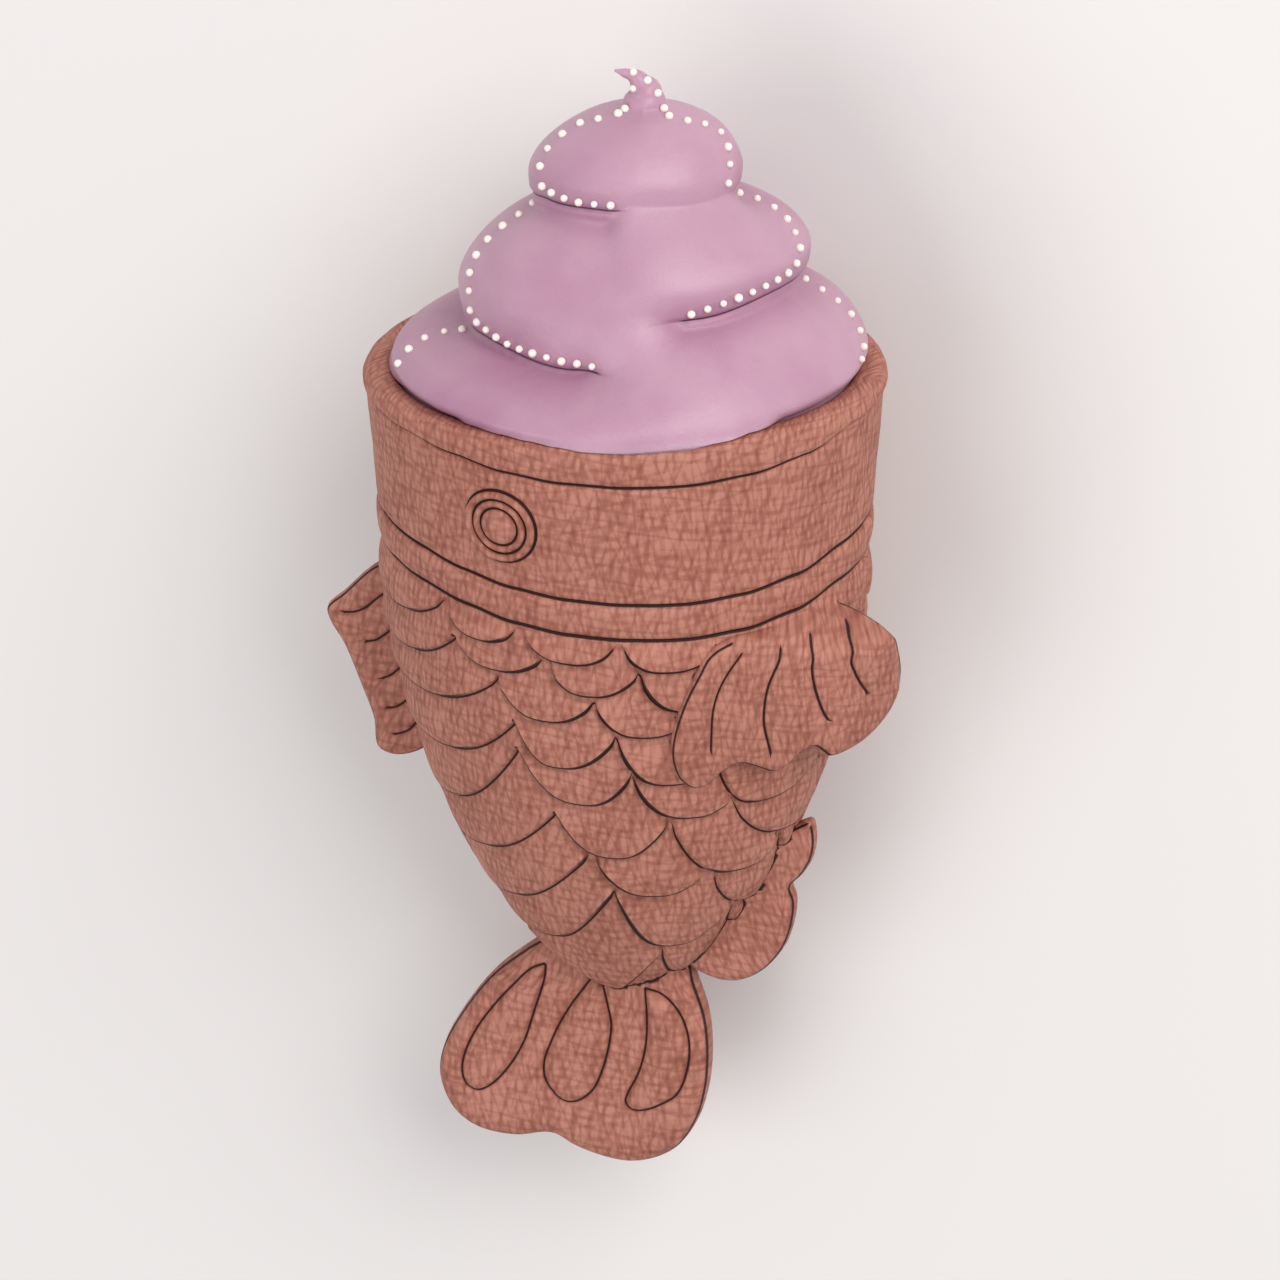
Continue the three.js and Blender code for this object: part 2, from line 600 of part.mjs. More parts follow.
/** Which way the cream's surface faces. */
function creamNormal(azimuth, height) {
  const across = creamPoint(azimuth + 0.5, height).sub(creamPoint(azimuth - 0.5, height));
  const up = creamPoint(azimuth, height + 0.1).sub(creamPoint(azimuth, height - 0.1));
  return across.cross(up).normalize();
}

/** Fine points of a string of pearls over the cream; turned by half a turn, those alone that face the back. */
function stringOver(path, turned) {
  const line = new THREE.CatmullRomCurve3(path.map(([x, y]) => new THREE.Vector3(x, y, 0)), false, 'centripetal');
  const front = fromFront(0, 0.41, 0.91);
  const levels = (azimuth) =>
    [0, creaseHeight(lowerCrease, azimuth), creaseHeight(upperCrease, azimuth), swirl.crown];
  return line.getSpacedPoints(160).flatMap(({ x: azimuth, y: height }) => {
    const here = levels(azimuth);
    const there = levels(azimuth + turned);
    const tier = here.findLastIndex((level, i) => i < 3 && height >= level);
    const share = (height - here[tier]) / (here[tier + 1] - here[tier]);
    const moved = turned ? lerp(there[tier], there[tier + 1], share) : height;
    const out = creamNormal(azimuth + turned, moved);
    if (turned && out.dot(front) > pearl.facingBack) return [];
    return [creamPoint(azimuth + turned, moved).addScaledVector(out, pearl.sunk)];
  });
}

/** Middles of the sugar pearls. */
function pearlPlaces() {
  const strings = [];
  for (const turned of [0, 180]) {
    for (const path of garlands) strings.push([stringOver(path, turned), pearl.spacing]);
    for (const path of rows) strings.push([stringOver(path, turned), pearl.rowSpacing]);
  }
  for (const [azimuth, from, to] of tips) {
    const shares = Array.from({ length: 41 }, (_, i) => lerp(from, to, i / 40));
    strings.push([shares.map((share) => curlPoint(azimuth, share)), pearl.rowSpacing]);
  }
  return strings.filter(([points]) => points.length > 3).flatMap(([points, spacing]) => spaced(points, spacing));
}

function softServe() {
  const pearls = pearlPlaces().map(({ x, y, z }) =>
    solid(new THREE.OctahedronGeometry(pearl.radius).translate(x, y, z)));
  return wasm.Manifold.union([solid(creamBody()), ...pearls]);
}

// ---- The fish laid down ----

const taiyaki = new THREE.Group();
taiyaki.name = 'taiyaki';
taiyaki.rotation.x = degToRad(laid.tilt);
taiyaki.position.copy(laid.mouth);
taiyaki.updateMatrixWorld(true);

/** The space under the floor, in the fish's frame. */
function underFloor() {
  const box = new THREE.BoxGeometry(300, 400, 20);
  box.translate(0, 0, -10);
  return box.applyMatrix4(taiyaki.matrixWorld.clone().invert());
}

const waffle = waffleFish().subtract(solid(underFloor()));
taiyaki.add(named('waffle_fish', waffle, colours.waffle, 0.7));
taiyaki.add(named('soft_serve', softServe(), colours.cream, 0.45));

export default taiyaki;
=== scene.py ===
"""Looks of an open-mouthed taiyaki: the waffle fish, its swirl of soft serve and the sugar pearls.

Every piece is shaped in the fish's own frame, in millimetres, and laid down on the table at the end:
    +X to the belly, +Y along the fish's axis to the mouth, +Z to the upper flank.
A station is a place along +Y, 0 at the rim of the mouth and negative on the fish. An angle runs round the
axis, 0 at the upper flank and 90 degrees at the belly.
"""

from __future__ import annotations

import logging
import math
from dataclasses import dataclass, field
from enum import Enum
from typing import Callable, Sequence

import bmesh
import bpy
import numpy as np
from mathutils import Matrix, Vector, noise
from mathutils.geometry import delaunay_2d_cdt
from mathutils.kdtree import KDTree

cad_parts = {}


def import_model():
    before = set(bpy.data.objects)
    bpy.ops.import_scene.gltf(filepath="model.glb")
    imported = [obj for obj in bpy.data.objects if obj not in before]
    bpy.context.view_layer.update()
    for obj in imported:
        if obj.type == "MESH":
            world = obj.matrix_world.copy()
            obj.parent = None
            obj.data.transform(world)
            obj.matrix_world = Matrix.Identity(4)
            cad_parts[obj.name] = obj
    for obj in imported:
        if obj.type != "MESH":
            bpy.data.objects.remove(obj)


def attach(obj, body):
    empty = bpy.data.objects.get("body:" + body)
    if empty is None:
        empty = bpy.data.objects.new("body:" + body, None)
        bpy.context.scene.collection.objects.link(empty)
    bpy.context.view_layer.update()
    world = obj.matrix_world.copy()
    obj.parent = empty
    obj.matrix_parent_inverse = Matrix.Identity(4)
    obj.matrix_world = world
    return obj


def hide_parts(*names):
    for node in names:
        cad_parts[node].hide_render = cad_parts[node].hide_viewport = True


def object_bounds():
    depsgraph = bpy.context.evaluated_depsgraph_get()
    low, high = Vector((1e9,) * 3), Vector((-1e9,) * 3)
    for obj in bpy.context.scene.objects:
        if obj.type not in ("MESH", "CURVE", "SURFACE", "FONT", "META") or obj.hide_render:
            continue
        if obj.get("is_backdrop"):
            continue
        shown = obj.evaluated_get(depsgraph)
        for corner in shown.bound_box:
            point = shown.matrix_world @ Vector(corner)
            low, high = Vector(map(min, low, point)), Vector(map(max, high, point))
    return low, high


log = logging.getLogger("taiyaki")

MM = 0.001
FULL_TURN = 2 * math.pi
FIT_GAP = 0.3  # between the cream and the waffle
LINE_CORE = 0.06  # half-width of a painted line of shade at its darkest
LINE_EDGE = 0.26  # width over which it pales
TRIANGLE_ROWS = 0.866  # height of an even triangle over its side
SKIN_SUNK = 0.04  # how far the middle of the crust's bumps lies under the smooth form
TOGETHER = 2000  # points measured at a time

Pairs = Sequence[tuple[float, float]]
Placing = Callable[[np.ndarray, np.ndarray, np.ndarray], np.ndarray]
Thickening = Callable[[np.ndarray, np.ndarray], np.ndarray]


# ---- Small helpers ----


def smooth(x: np.ndarray | float) -> np.ndarray:
    """Eases from 0 to 1.

    Args:
        x: Values, of which those outside 0 to 1 are clamped.

    Returns:
        The eased values.
    """
    t = np.clip(x, 0.0, 1.0)
    return t * t * (3 - 2 * t)


def mix(low: np.ndarray | float, high: np.ndarray | float, share: np.ndarray | float) -> np.ndarray:
    """Value at a share of the way from low to high."""
    return low + (high - low) * share


def along(table: Pairs, place: np.ndarray | float) -> np.ndarray:
    """Reads a table of places and values, eased between its rows.

    Args:
        table: Pairs of place and value, in rising order.
        place: Where to read it.

    Returns:
        The values.
    """
    places = np.array([row[0] for row in table], float)
    values = np.array([row[1] for row in table], float)
    at = np.clip(place, places[0], places[-1])
    after = np.clip(np.searchsorted(places, at), 1, len(places) - 1)
    share = (at - places[after - 1]) / (places[after] - places[after - 1])
    return mix(values[after - 1], values[after], smooth(share))


def soft_max(a: np.ndarray, b: np.ndarray, width: np.ndarray | float) -> np.ndarray:
    """The larger of two radii, with the corner between them filled over a width."""
    overlap = np.maximum(width - np.abs(a - b), 0) / width
    return np.maximum(a, b) + overlap * overlap * width / 4


@dataclass(frozen=True)
class Bumps:
    """Gentle unevenness that is fixed in space, in millimetres."""

    height: float
    size: float
    seed: float  # which of its patterns

    def at(self, points: np.ndarray) -> np.ndarray:
        """How far each place is raised, or sunk where it is negative."""
        scaled = points.reshape(-1, 3) / self.size + self.seed
        values = np.array([noise.noise(Vector(p)) for p in scaled])
        return self.height * values.reshape(points.shape[:-1])


def drawn_line(gap: np.ndarray) -> np.ndarray:
    """How dark a painted line of shade in a groove or crease is at a distance from its middle, from 0 to 1.
    """
    return 1 - smooth((gap - LINE_CORE) / LINE_EDGE)


LARGE_BUMPS = Bumps(0.13, 7.0, 3.1)
SMALL_BUMPS = Bumps(0.07, 2.6, 8.4)


def crust_bumps(points: np.ndarray) -> np.ndarray:
    """How far the crust is raised or sunk at places of the body and the eyes."""
    return LARGE_BUMPS.at(points) + SMALL_BUMPS.at(points)


def curve_through(points: Pairs, spacing: float, closed: bool) -> np.ndarray:
    """Evenly spaced points on a smooth curve, of the centripetal kind that doesn't overshoot.

    Args:
        points: Places that it passes through.
        spacing: Distance between the points returned.
        closed: Whether its end joins its start.

    Returns:
        The points, without a repeated last one on a closed curve.
    """
    given = np.array(points, float)
    if closed:
        padded = np.vstack([given[-1], given, given[0], given[1]])
    else:
        padded = np.vstack([2 * given[0] - given[1], given, 2 * given[-1] - given[-2]])
    fine = []
    for i in range(1, len(padded) - 2):
        p = padded[i - 1:i + 3]
        knots = np.concatenate([[0], np.cumsum(np.sqrt(np.linalg.norm(np.diff(p, axis=0), axis=1)) + 1e-6)])
        t = np.linspace(knots[1], knots[2], 12, endpoint=False)[:, None]
        level = [mix(p[k], p[k + 1], (t - knots[k]) / (knots[k + 1] - knots[k])) for k in range(3)]
        level = [mix(level[k], level[k + 1], (t - knots[k]) / (knots[k + 2] - knots[k])) for k in range(2)]
        fine.append(mix(level[0], level[1], (t - knots[1]) / (knots[2] - knots[1])))
    fine.append(padded[-2][None, :])
    path = np.vstack(fine)
    length = np.concatenate([[0], np.cumsum(np.linalg.norm(np.diff(path, axis=0), axis=1))])
    count = max(round(length[-1] / spacing), 3)
    at = np.linspace(0, length[-1], count + 1)
    even = np.column_stack([np.interp(at, length, path[:, axis]) for axis in range(path.shape[1])])
    return even[:-1] if closed else even


def gap_to(points: np.ndarray, path: np.ndarray, closed: bool) -> np.ndarray:
    """Distance of each point to a path of straight stretches."""
    start = path
    end = np.roll(path, -1, axis=0)
    if not closed:
        start, end = start[:-1], end[:-1]
    step = end - start
    reach = np.maximum((step ** 2).sum(axis=1), 1e-12)
    best = np.full(len(points), np.inf)
    for first in range(0, len(points), TOGETHER):
        part = points[first:first + TOGETHER]
        rel = part[:, None, :] - start[None]
        share = np.clip((rel * step[None]).sum(axis=2) / reach, 0, 1)
        off = rel - share[..., None] * step[None]
        best[first:first + TOGETHER] = np.sqrt((off ** 2).sum(axis=2).min(axis=1))
    return best


def is_inside(points: np.ndarray, outline: np.ndarray) -> np.ndarray:
    """Whether each point lies inside a closed outline."""
    x, y = points[:, 0][:, None], points[:, 1][:, None]
    (x0, y0), (x1, y1) = outline.T, np.roll(outline, -1, axis=0).T
    crosses = (y0 > y) != (y1 > y)
    slope = np.where(y1 == y0, 1e-12, y1 - y0)
    return (crosses & (x < (x1 - x0) * (y - y0) / slope + x0)).sum(axis=1) % 2 == 1


# ---- Meshes ----


@dataclass
class Shell:
    """A closed surface in the fish's frame, with values at its points that its material reads."""

    points: np.ndarray
    faces: list[tuple[int, ...]]
    marks: dict[str, np.ndarray] = field(default_factory=dict)

    @classmethod
    def of_rings(cls, rings: np.ndarray, marks: dict[str, np.ndarray]) -> Shell:
        """Closes rings of equal length at both ends.

        Args:
            rings: Points, as rings by places round them by three.
            marks: Values for each point of the rings.

        Returns:
            The shell, with a point in the middle of its first and last ring.
        """
        count, sides = rings.shape[:2]
        first, last = rings[0].mean(axis=0), rings[-1].mean(axis=0)
        points = np.vstack([rings.reshape(-1, 3), first, last])
        ring, side = np.meshgrid(np.arange(count - 1), np.arange(sides), indexing="ij")
        a = ring * sides + side
        b = ring * sides + (side + 1) % sides
        quads = np.stack([a, a + sides, b + sides, b], axis=-1).reshape(-1, 4)
        faces = [tuple(quad) for quad in quads.tolist()]
        top, bottom = count * sides, count * sides + 1
        base = (count - 1) * sides
        faces += [(top, i, (i + 1) % sides) for i in range(sides)]
        faces += [(bottom, base + (i + 1) % sides, base + i) for i in range(sides)]
        flat = {name: np.append(values.reshape(-1), [0.0, 0.0]) for name, values in marks.items()}
        return cls(points, faces, flat)

    def mirrored(self) -> Shell:
        """The same shell on the other flank."""
        return Shell(self.points * [1, 1, -1], [face[::-1] for face in self.faces], dict(self.marks))

    def to_object(self, name: str) -> bpy.types.Object:
        """Makes a mesh object of it, with its faces pointing out.

        Args:
            name: The object's name.

        Returns:
            The object, linked to the scene.
        """
        mesh = bpy.data.meshes.new(name)
        mesh.from_pydata(self.points.tolist(), [], self.faces)
        for mark, values in self.marks.items():
            mesh.attributes.new(mark, "FLOAT", "POINT").data.foreach_set("value", values.astype(np.float32))
        bm = bmesh.new()
        bm.from_mesh(mesh)
        bmesh.ops.recalc_face_normals(bm, faces=bm.faces)
        if bm.calc_volume(signed=True) < 0:
            bmesh.ops.reverse_faces(bm, faces=bm.faces)
        bm.to_mesh(mesh)
        bm.free()
        made = bpy.data.objects.new(name, mesh)
        bpy.context.scene.collection.objects.link(made)
        return made


def points_of(mesh: bpy.types.Mesh) -> np.ndarray:
    """The places of a mesh's points."""
    flat = np.empty(len(mesh.vertices) * 3, np.float32)
    mesh.vertices.foreach_get("co", flat)
    return flat.reshape(-1, 3).astype(float)


def move_points(mesh: bpy.types.Mesh, points: np.ndarray) -> None:
    """Gives a mesh's points new places."""
    mesh.vertices.foreach_set("co", points.astype(np.float32).reshape(-1))
    mesh.update()


def discard(made: bpy.types.Object) -> None:
    """Removes an object and its data."""
    data = made.data
    bpy.data.objects.remove(made)
    if data.users == 0:
        bpy.data.meshes.remove(data)


@dataclass(frozen=True)
class LaidDown:
    """How the fish lies on the table."""

    tilt: float = 5.2  # degrees that the mouth is raised
    mouth: tuple[float, float, float] = (1.5, 47.8, 38.1)  # where the centre of the mouth lies

    def matrix(self) -> Matrix:
        """Turns the fish's frame, in millimetres, into the world, in metres."""
        turned = Matrix.Rotation(math.radians(self.tilt), 4, "X")
        return Matrix.Scale(MM, 4) @ Matrix.Translation(self.mouth) @ turned

    def points(self, points: np.ndarray) -> np.ndarray:
        """Places of points in the world, in metres."""
        m = np.array(self.matrix())
        return points @ m[:3, :3].T + m[:3, 3]

    def put(self, piece: bpy.types.Object, box: tuple[Vector, Vector]) -> None:
        """Moves a piece's mesh into the world, and rests it on the table inside the solids' box.

        Args:
            piece: A piece in the fish's frame, with its object at the origin.
            box: Lowest and highest corner that it may reach.
        """
        low, high = np.array(box[0]), np.array(box[1])
        move_points(piece.data, np.clip(self.points(points_of(piece.data)), low, high))


# ---- The waffle ----


def folded_degrees(angle: np.ndarray) -> np.ndarray:
    """Angles in radians as degrees on one flank, from -90 at the back to 90 at the belly."""
    return np.degrees(np.arctan2(np.sin(angle), np.abs(np.cos(angle))))


@dataclass
class RingStack:
    """Rings of the fish's body from the mouth's hollow to its tip, each with a value for every column."""

    columns: int
    station: list[np.ndarray] = field(default_factory=list)
    lift: list[np.ndarray] = field(default_factory=list)
    groove: list[np.ndarray] = field(default_factory=list)

    def add(
        self, station: np.ndarray | float, lift: np.ndarray | float, groove: np.ndarray | float = 0.0,
    ) -> None:
        """Adds a ring.

        Args:
            station: Its station.
            lift: How far it stands off the plain body.
            groove: How much painted shade it carries as the bottom of a groove.
        """
        for store, value in ((self.station, station), (self.lift, lift), (self.groove, groove)):
            store.append(np.broadcast_to(np.asarray(value, float), (self.columns,)).copy())


@dataclass
class FishBody:
    """The hollow body: rim, lip, head and rows of overlapping scales."""

    half_depth: float = 42.5  # at the rim, back to belly
    taper: float = 0.075  # what the half-depth loses on each millimetre
    straight: float = 36.5  # length of the part that narrows evenly
    length: float = 114.0
    roundness: float = 1.6  # power of the curve that closes its end
    flatness: float = 0.9  # half-width over half-depth at the rim
    flatness_loss: float = 0.1  # what it loses to the tip
    skew: float = 1.0  # how far the rim is raised at the belly and lowered at the back
    gill: float = -34.4  # station where the skew has run out
    lip: float = -6.9  # station from which the lines of the head rise in full
    rim_foot: float = -1.6  # station from which they begin to rise
    columns: int = 368
    crowding: float = 0.2  # share by which columns crowd towards the upper flank
    crowding_turn: float = 0.26  # radians from the upper flank to where they crowd most

    # Walls of the hollow and the rim: station and lift.
    hollow: Pairs = ((-31, -11.4), (-25, -4.6), (-13, -4.6), (-1.1, -4.6))
    rim: Pairs = (
        (-0.5, -4.42), (-0.18, -3.95), (-0.02, -3.2), (0, -2.2), (-0.06, -1.35), (-0.28, -0.6),
        (-0.68, -0.12), (-1.25, 0.2), (-2.0, 0.42), (-3.2, 0.55), (-4.4, 0.55), (-5.5, 0.5),
    )
    # Grooves and bands of the head: station, lift and how much painted shade it carries as a groove's
    # bottom.
    head: Sequence[tuple[float, float, float]] = (
        (-6.1, 0.42, 0), (-6.45, 0.18, 0), (-6.65, -0.2, 0.7), (-6.8, -0.5, 1), (-7, -0.55, 1),
        (-7.2, -0.3, 0.5), (-7.45, 0.0, 0), (-8, 0.08, 0), (-9.4, 0.1, 0), (-11, 0.1, 0), (-12.8, 0.1, 0),
        (-14.6, 0.1, 0), (-16.4, 0.1, 0), (-18.2, 0.1, 0), (-20, 0.1, 0), (-21.8, 0.1, 0), (-23.6, 0.1, 0),
        (-25.4, 0.1, 0), (-26.8, 0.08, 0), (-27.4, 0.0, 0), (-27.65, -0.2, 0.2), (-27.85, -0.5, 0.9),
        (-28.05, -0.58, 1), (-28.2, -0.5, 0.9), (-28.42, -0.1, 0.2), (-28.7, 0.25, 0), (-29.3, 0.42, 0),
        (-30.3, 0.5, 0), (-31.4, 0.5, 0), (-32.5, 0.45, 0), (-33.3, 0.32, 0), (-33.75, 0.15, 0),
        (-34.05, -0.25, 0.5), (-34.25, -0.55, 1), (-34.5, -0.58, 1), (-34.7, -0.35, 0.6),
        (-34.95, -0.1, 0.1),
    )
    eye_bed: float = 0.6  # how far the body sinks under an eye
    eye_bed_rim: float = 1.2  # width over which it sinks
    smooth_rings: int = 4  # how many first rings have no bumps; over as many more, the bumps grow

    scale_thickness: float = 1.1
    scale_tucked: float = 0.12  # share of the thickness where the row above covers a scale
    scale_dome: float = 0.4
    scale_rings: tuple[float, ...] = (0.3, 0.56, 0.8, 0.93)  # shares of a scale's length
    scale_swell: float = 0.9  # power of the thickness along a scale
    dome_swell: float = 0.7  # power of its dome
    shortest: float = 0.06  # of the strips between two rows' edges
    shown_from: float = 0.3  # length of strip from which a scale begins to show
    shown_over: float = 2.2  # further length over which it comes to its full thickness
    drawn_over: float = 1.4  # length of strip over which the painted shade of its groove comes to its full darkness
    steepest: float = 2.6  # the most that an edge's slant stretches its fall
    # How far before its edge a scale is still in full thickness: millimetres, but at most this share of it.
    brink: tuple[float, float] = (0.2, 0.04)
    # The free edge of each row of scales from the back to the belly, by angle in degrees and station: its
    # joints and the lowest points of its Us take turns.
    rows: Sequence[Pairs] = (
        (
            (-90, -33), (-62, -38.1), (-36.6, -31.7), (-26, -37.3), (-13.4, -32.9), (1, -38.7),
            (13.8, -34.3), (27, -39.6), (41, -35), (56, -40), (72, -34.5), (90, -38),
        ),
        (
            (-90, -39.5), (-64, -45.5), (-33.8, -37.7), (-22, -42.2), (-6.4, -37.9), (6, -44.4), (19, -39.7),
            (33, -47.1), (48, -42), (63, -47.5), (79, -42.5), (90, -45.5),
        ),
        (
            (-90, -46), (-57, -52.1), (-21, -43.5), (-7.5, -50.2), (6.7, -45.5), (21, -52), (35, -47.5),
            (52, -55.5), (69, -49.5), (90, -55.5),
        ),
        (
            (-90, -53.5), (-55, -61.8), (-17, -50.8), (-5, -59.2), (12.7, -52), (29.5, -61.6), (42.5, -57.5),
            (63, -67.9), (80.5, -61.5), (90, -65.5),
        ),
        (
            (-90, -72), (-68, -73.4), (-17.5, -56), (2, -66.3), (17, -59.5), (38.5, -68.8), (48.2, -65.5),
            (90, -77.3),
        ),
        (
            (-90, -80.6), (-62, -81.8), (-8.3, -68.3), (12, -77.3), (29.8, -68.6), (66, -82.6), (75, -76),
            (90, -82.5),
        ),
        ((-90, -90.8), (-62, -91.7), (2.5, -76.5), (30, -85.9), (47.5, -80), (90, -92)),
        ((-90, -96.4), (-42, -99), (10.5, -84.7), (47.5, -98.7), (68, -90), (90, -97.5)),
        ((-90, -106), (-62, -100.8), (0, -111.9), (38.6, -99.3), (90, -107.9)),
    )
    sides: tuple[float, float] = (3.2, 2.3)  # powers of a U's side towards the back and towards the belly
    bow: Pairs = (  # how far the lip's and the gill's lines rise, by angle in degrees
        (-90, 3.8), (-60, 3.8), (-45, 3.5), (-30, 2.4), (-15, 1.2), (0, 0.45), (15, 0.1), (30, 0), (45, 0.6),
        (60, 1.8), (75, 3.8), (90, 4.2),
    )
    # A free edge's fall, square to the edge: distance past it, share of the thickness, and the painted shade
    # on it where the fall can be seen from over the flank and where it looks away.
    fall: Sequence[tuple[float, float, float, float]] = (
        (0.0, 1.0, 0, 0.85), (0.2, 0.93, 0, 1), (0.38, 0.66, 0, 1), (0.5, 0.3, 0.15, 1), (0.58, 0.0, 1, 1),
    )
    # The row below, from the foot of the fall: distance, share of its strip at most, lift, and the painted
    # shade of its groove.
    foot: Sequence[tuple[float, float, float, float]] = (
        (0.15, 0.2, -0.15, 1), (0.34, 0.38, -0.02, 0.2), (0.7, 0.55, 0.08, 0),
    )
    foot_depth: float = 0.16
    foot_dark: float = 0.15  # distance past the foot over which the painted shade of its groove pales
    covered_fall: float = 0.25  # share of its width that a fall keeps where its scale doesn't show
    fall_gap: float = 0.004  # between a fall and the ring before it
    seen_from: tuple[float, float] = (15.0, 24.5)  # over the flank: degrees to the belly and to the mouth
    looks: tuple[float, float] = (0.2, 0.5)  # cosine below which a fall looks away, and over how much
    # In millimetres off the plane of the two seams: where the painted shade of the grooves begins and over
    # how far it comes in full, then the same for the scales' relief, and the lift of the plain strip
    # between.
    groove_clear: tuple[float, float] = (2.5, 1.1)
    relief_clear: tuple[float, float] = (0.9, 2.1)
    plain_lift: float = 0.4
    end_rings: tuple[float, ...] = (0.12, 0.3, 0.5, 0.72, 0.9)  # shares of the way from last row to tip
    end_dark: float = 0.15  # share over which the painted shade of the last row's groove pales
    belly_seam: Pairs = ((-114, 1.1), (-38, 1.1))  # height of the iron's ridge by station
    back_seam: Pairs = ((-114, 1.4), (-106, 3.2), (-90, 4.0), (-80, 3.6), (-72, 2.4), (-64, 1.1), (-38, 1.1))
    seam_width: float = 1.7
    seam_foot: float = 0.4  # how deep in the body the ridge stands

    def depth_at(self, station: np.ndarray) -> np.ndarray:
        """Half-depth of the plain body, back to belly."""
        gone = np.clip((-station - self.straight) / (self.length - self.straight), 0, 1)
        return (self.half_depth + self.taper * station) * (1 - gone ** 2) ** (1 / self.roundness)

    def radius(self, angle: np.ndarray, station: np.ndarray) -> np.ndarray:
        """Radius of the plain body."""
        depth = np.maximum(self.depth_at(station), 0.01)
        width = depth * (self.flatness + self.flatness_loss * station / self.length)
        return 1 / np.hypot(np.sin(angle) / depth, np.cos(angle) / width)

    def point(self, angle: np.ndarray, station: np.ndarray, lift: np.ndarray | float) -> np.ndarray:
        """Points standing off the plain body.

        Args:
            angle: Angles, in radians.
            station: Stations.
            lift: How far each stands off.

        Returns:
            Points in the fish's frame.
        """
        angle, station, lift = np.broadcast_arrays(angle, station, lift)
        radius = self.radius(angle, station) + lift
        skewed = station + self.skew * np.sin(angle) * np.clip(1 - station / self.gill, 0, 1)
        return np.stack([radius * np.sin(angle), skewed, radius * np.cos(angle)], axis=-1)

    def rise(self, angle: np.ndarray, station: np.ndarray) -> np.ndarray:
        """How far a line rises to the mouth at its angle: not at the rim, in full from the lip down."""
        share = np.clip((station - self.rim_foot) / (self.lip - self.rim_foot), 0, 1)
        return along(self.bow, folded_degrees(angle)) * share

    def edge(self, row: Pairs, angle: np.ndarray) -> tuple[np.ndarray, np.ndarray]:
        """Follows the free edge of a row of scales.

        Args:
            row: Its joints and lowest points.
            angle: Angles, in radians.

        Returns:
            The edge's stations, and how near each is to a joint, from 0 at a lowest point to 1.
        """
        place = folded_degrees(angle)
        at, station = np.array(row, float).T
        i = np.clip(np.searchsorted(at, place, side="right") - 1, 0, len(at) - 2)
        share = (place - at[i]) / (at[i + 1] - at[i])
        from_low = station[i] < station[i + 1]
        near = np.where(from_low, share, 1 - share)
        low, joint = np.minimum(station[i], station[i + 1]), np.maximum(station[i], station[i + 1])
        return mix(low, joint, near ** np.where(from_low, self.sides[1], self.sides[0])), near

    def add_scales(self, stack: RingStack, angle: np.ndarray) -> None:
        """Adds the rings of every row of scales, which follow the rows' free edges.

        Args:
            stack: The rings so far, down to the gill.
            angle: The columns' angles.
        """
        foot = stack.station[-1]
        foot_lift = stack.lift[-1]
        stretch = np.ones_like(angle)
        below_scale = 0.0
        for row in self.rows:
            edge, near_joint = self.edge(row, angle)
            slope = np.gradient(edge) / (np.gradient(angle) * self.radius(angle, edge))
            edge = np.minimum(edge, foot - self.shortest)
            strip = foot - edge
            shown = smooth((strip - self.shown_from) / self.shown_over)
            dome = self.scale_dome * (1 - near_joint ** 2) * shown
            for distance, most, lift, groove in self.foot:
                gone = np.minimum(distance * stretch, most * strip)
                faded = np.maximum(groove, 1 - gone / (self.foot_dark * stretch)) if groove else 0.0
                stack.add(foot - gone, mix(foot_lift, lift, shown), faded * below_scale)
            start = stack.station[-1]
            thickness = self.scale_thickness * shown
            for share in self.scale_rings:
                rising = mix(self.scale_tucked, 1, share ** self.scale_swell)
                bulge = dome * math.sin(math.pi * share) ** self.dome_swell
                stack.add(mix(start, edge, share), mix(foot_lift, thickness * rising + bulge, shown))
            stretch = np.minimum(np.sqrt(1 + slope ** 2), self.steepest)
            stack.add(edge + np.minimum(self.brink[0] * stretch, self.brink[1] * strip), thickness)
            away = self.looks_away(angle, slope)
            drawn = smooth(strip / self.drawn_over)
            for distance, share, towards, hidden in self.fall:
                lift = mix(-self.foot_depth, thickness, share) if share else -self.foot_depth
                place = edge - distance * stretch * mix(self.covered_fall, 1, shown) - self.fall_gap
                stack.add(place, lift, mix(towards, hidden, away) * drawn)
            below_scale = drawn
            foot = stack.station[-1]
            foot_lift = np.full_like(angle, -self.foot_depth)

    def looks_away(self, angle: np.ndarray, slope: np.ndarray) -> np.ndarray:
        """How far the fall at a free edge looks away from over its flank, from 0 to 1.

        Args:
            angle: The columns' angles.
            slope: How steeply the edge runs up to the mouth with the angle.

        Returns:
            A share for each column.
        """
        to_belly, to_mouth = (math.radians(degrees) for degrees in self.seen_from)
        folded = np.radians(folded_degrees(angle))
        sideways = slope * np.sign(np.cos(angle))
        across = sideways * math.cos(to_mouth) * np.sin(folded - to_belly)
        looks = -(across + math.sin(to_mouth)) / np.hypot(1, slope)
        return smooth((self.looks[0] - looks) / self.looks[1])

    def seam(self, angle: np.ndarray, station: np.ndarray) -> np.ndarray:
        """Height of the ridge that the two halves of the iron leave along the back and the belly."""
        off_plane = np.abs(np.cos(angle)) * self.radius(angle, station)
        height = np.where(np.sin(angle) > 0, along(self.belly_seam, station), along(self.back_seam, station))
        foot = self.seam_foot
        return (height + foot) * np.exp(-((off_plane / self.seam_width) ** 2)) - foot

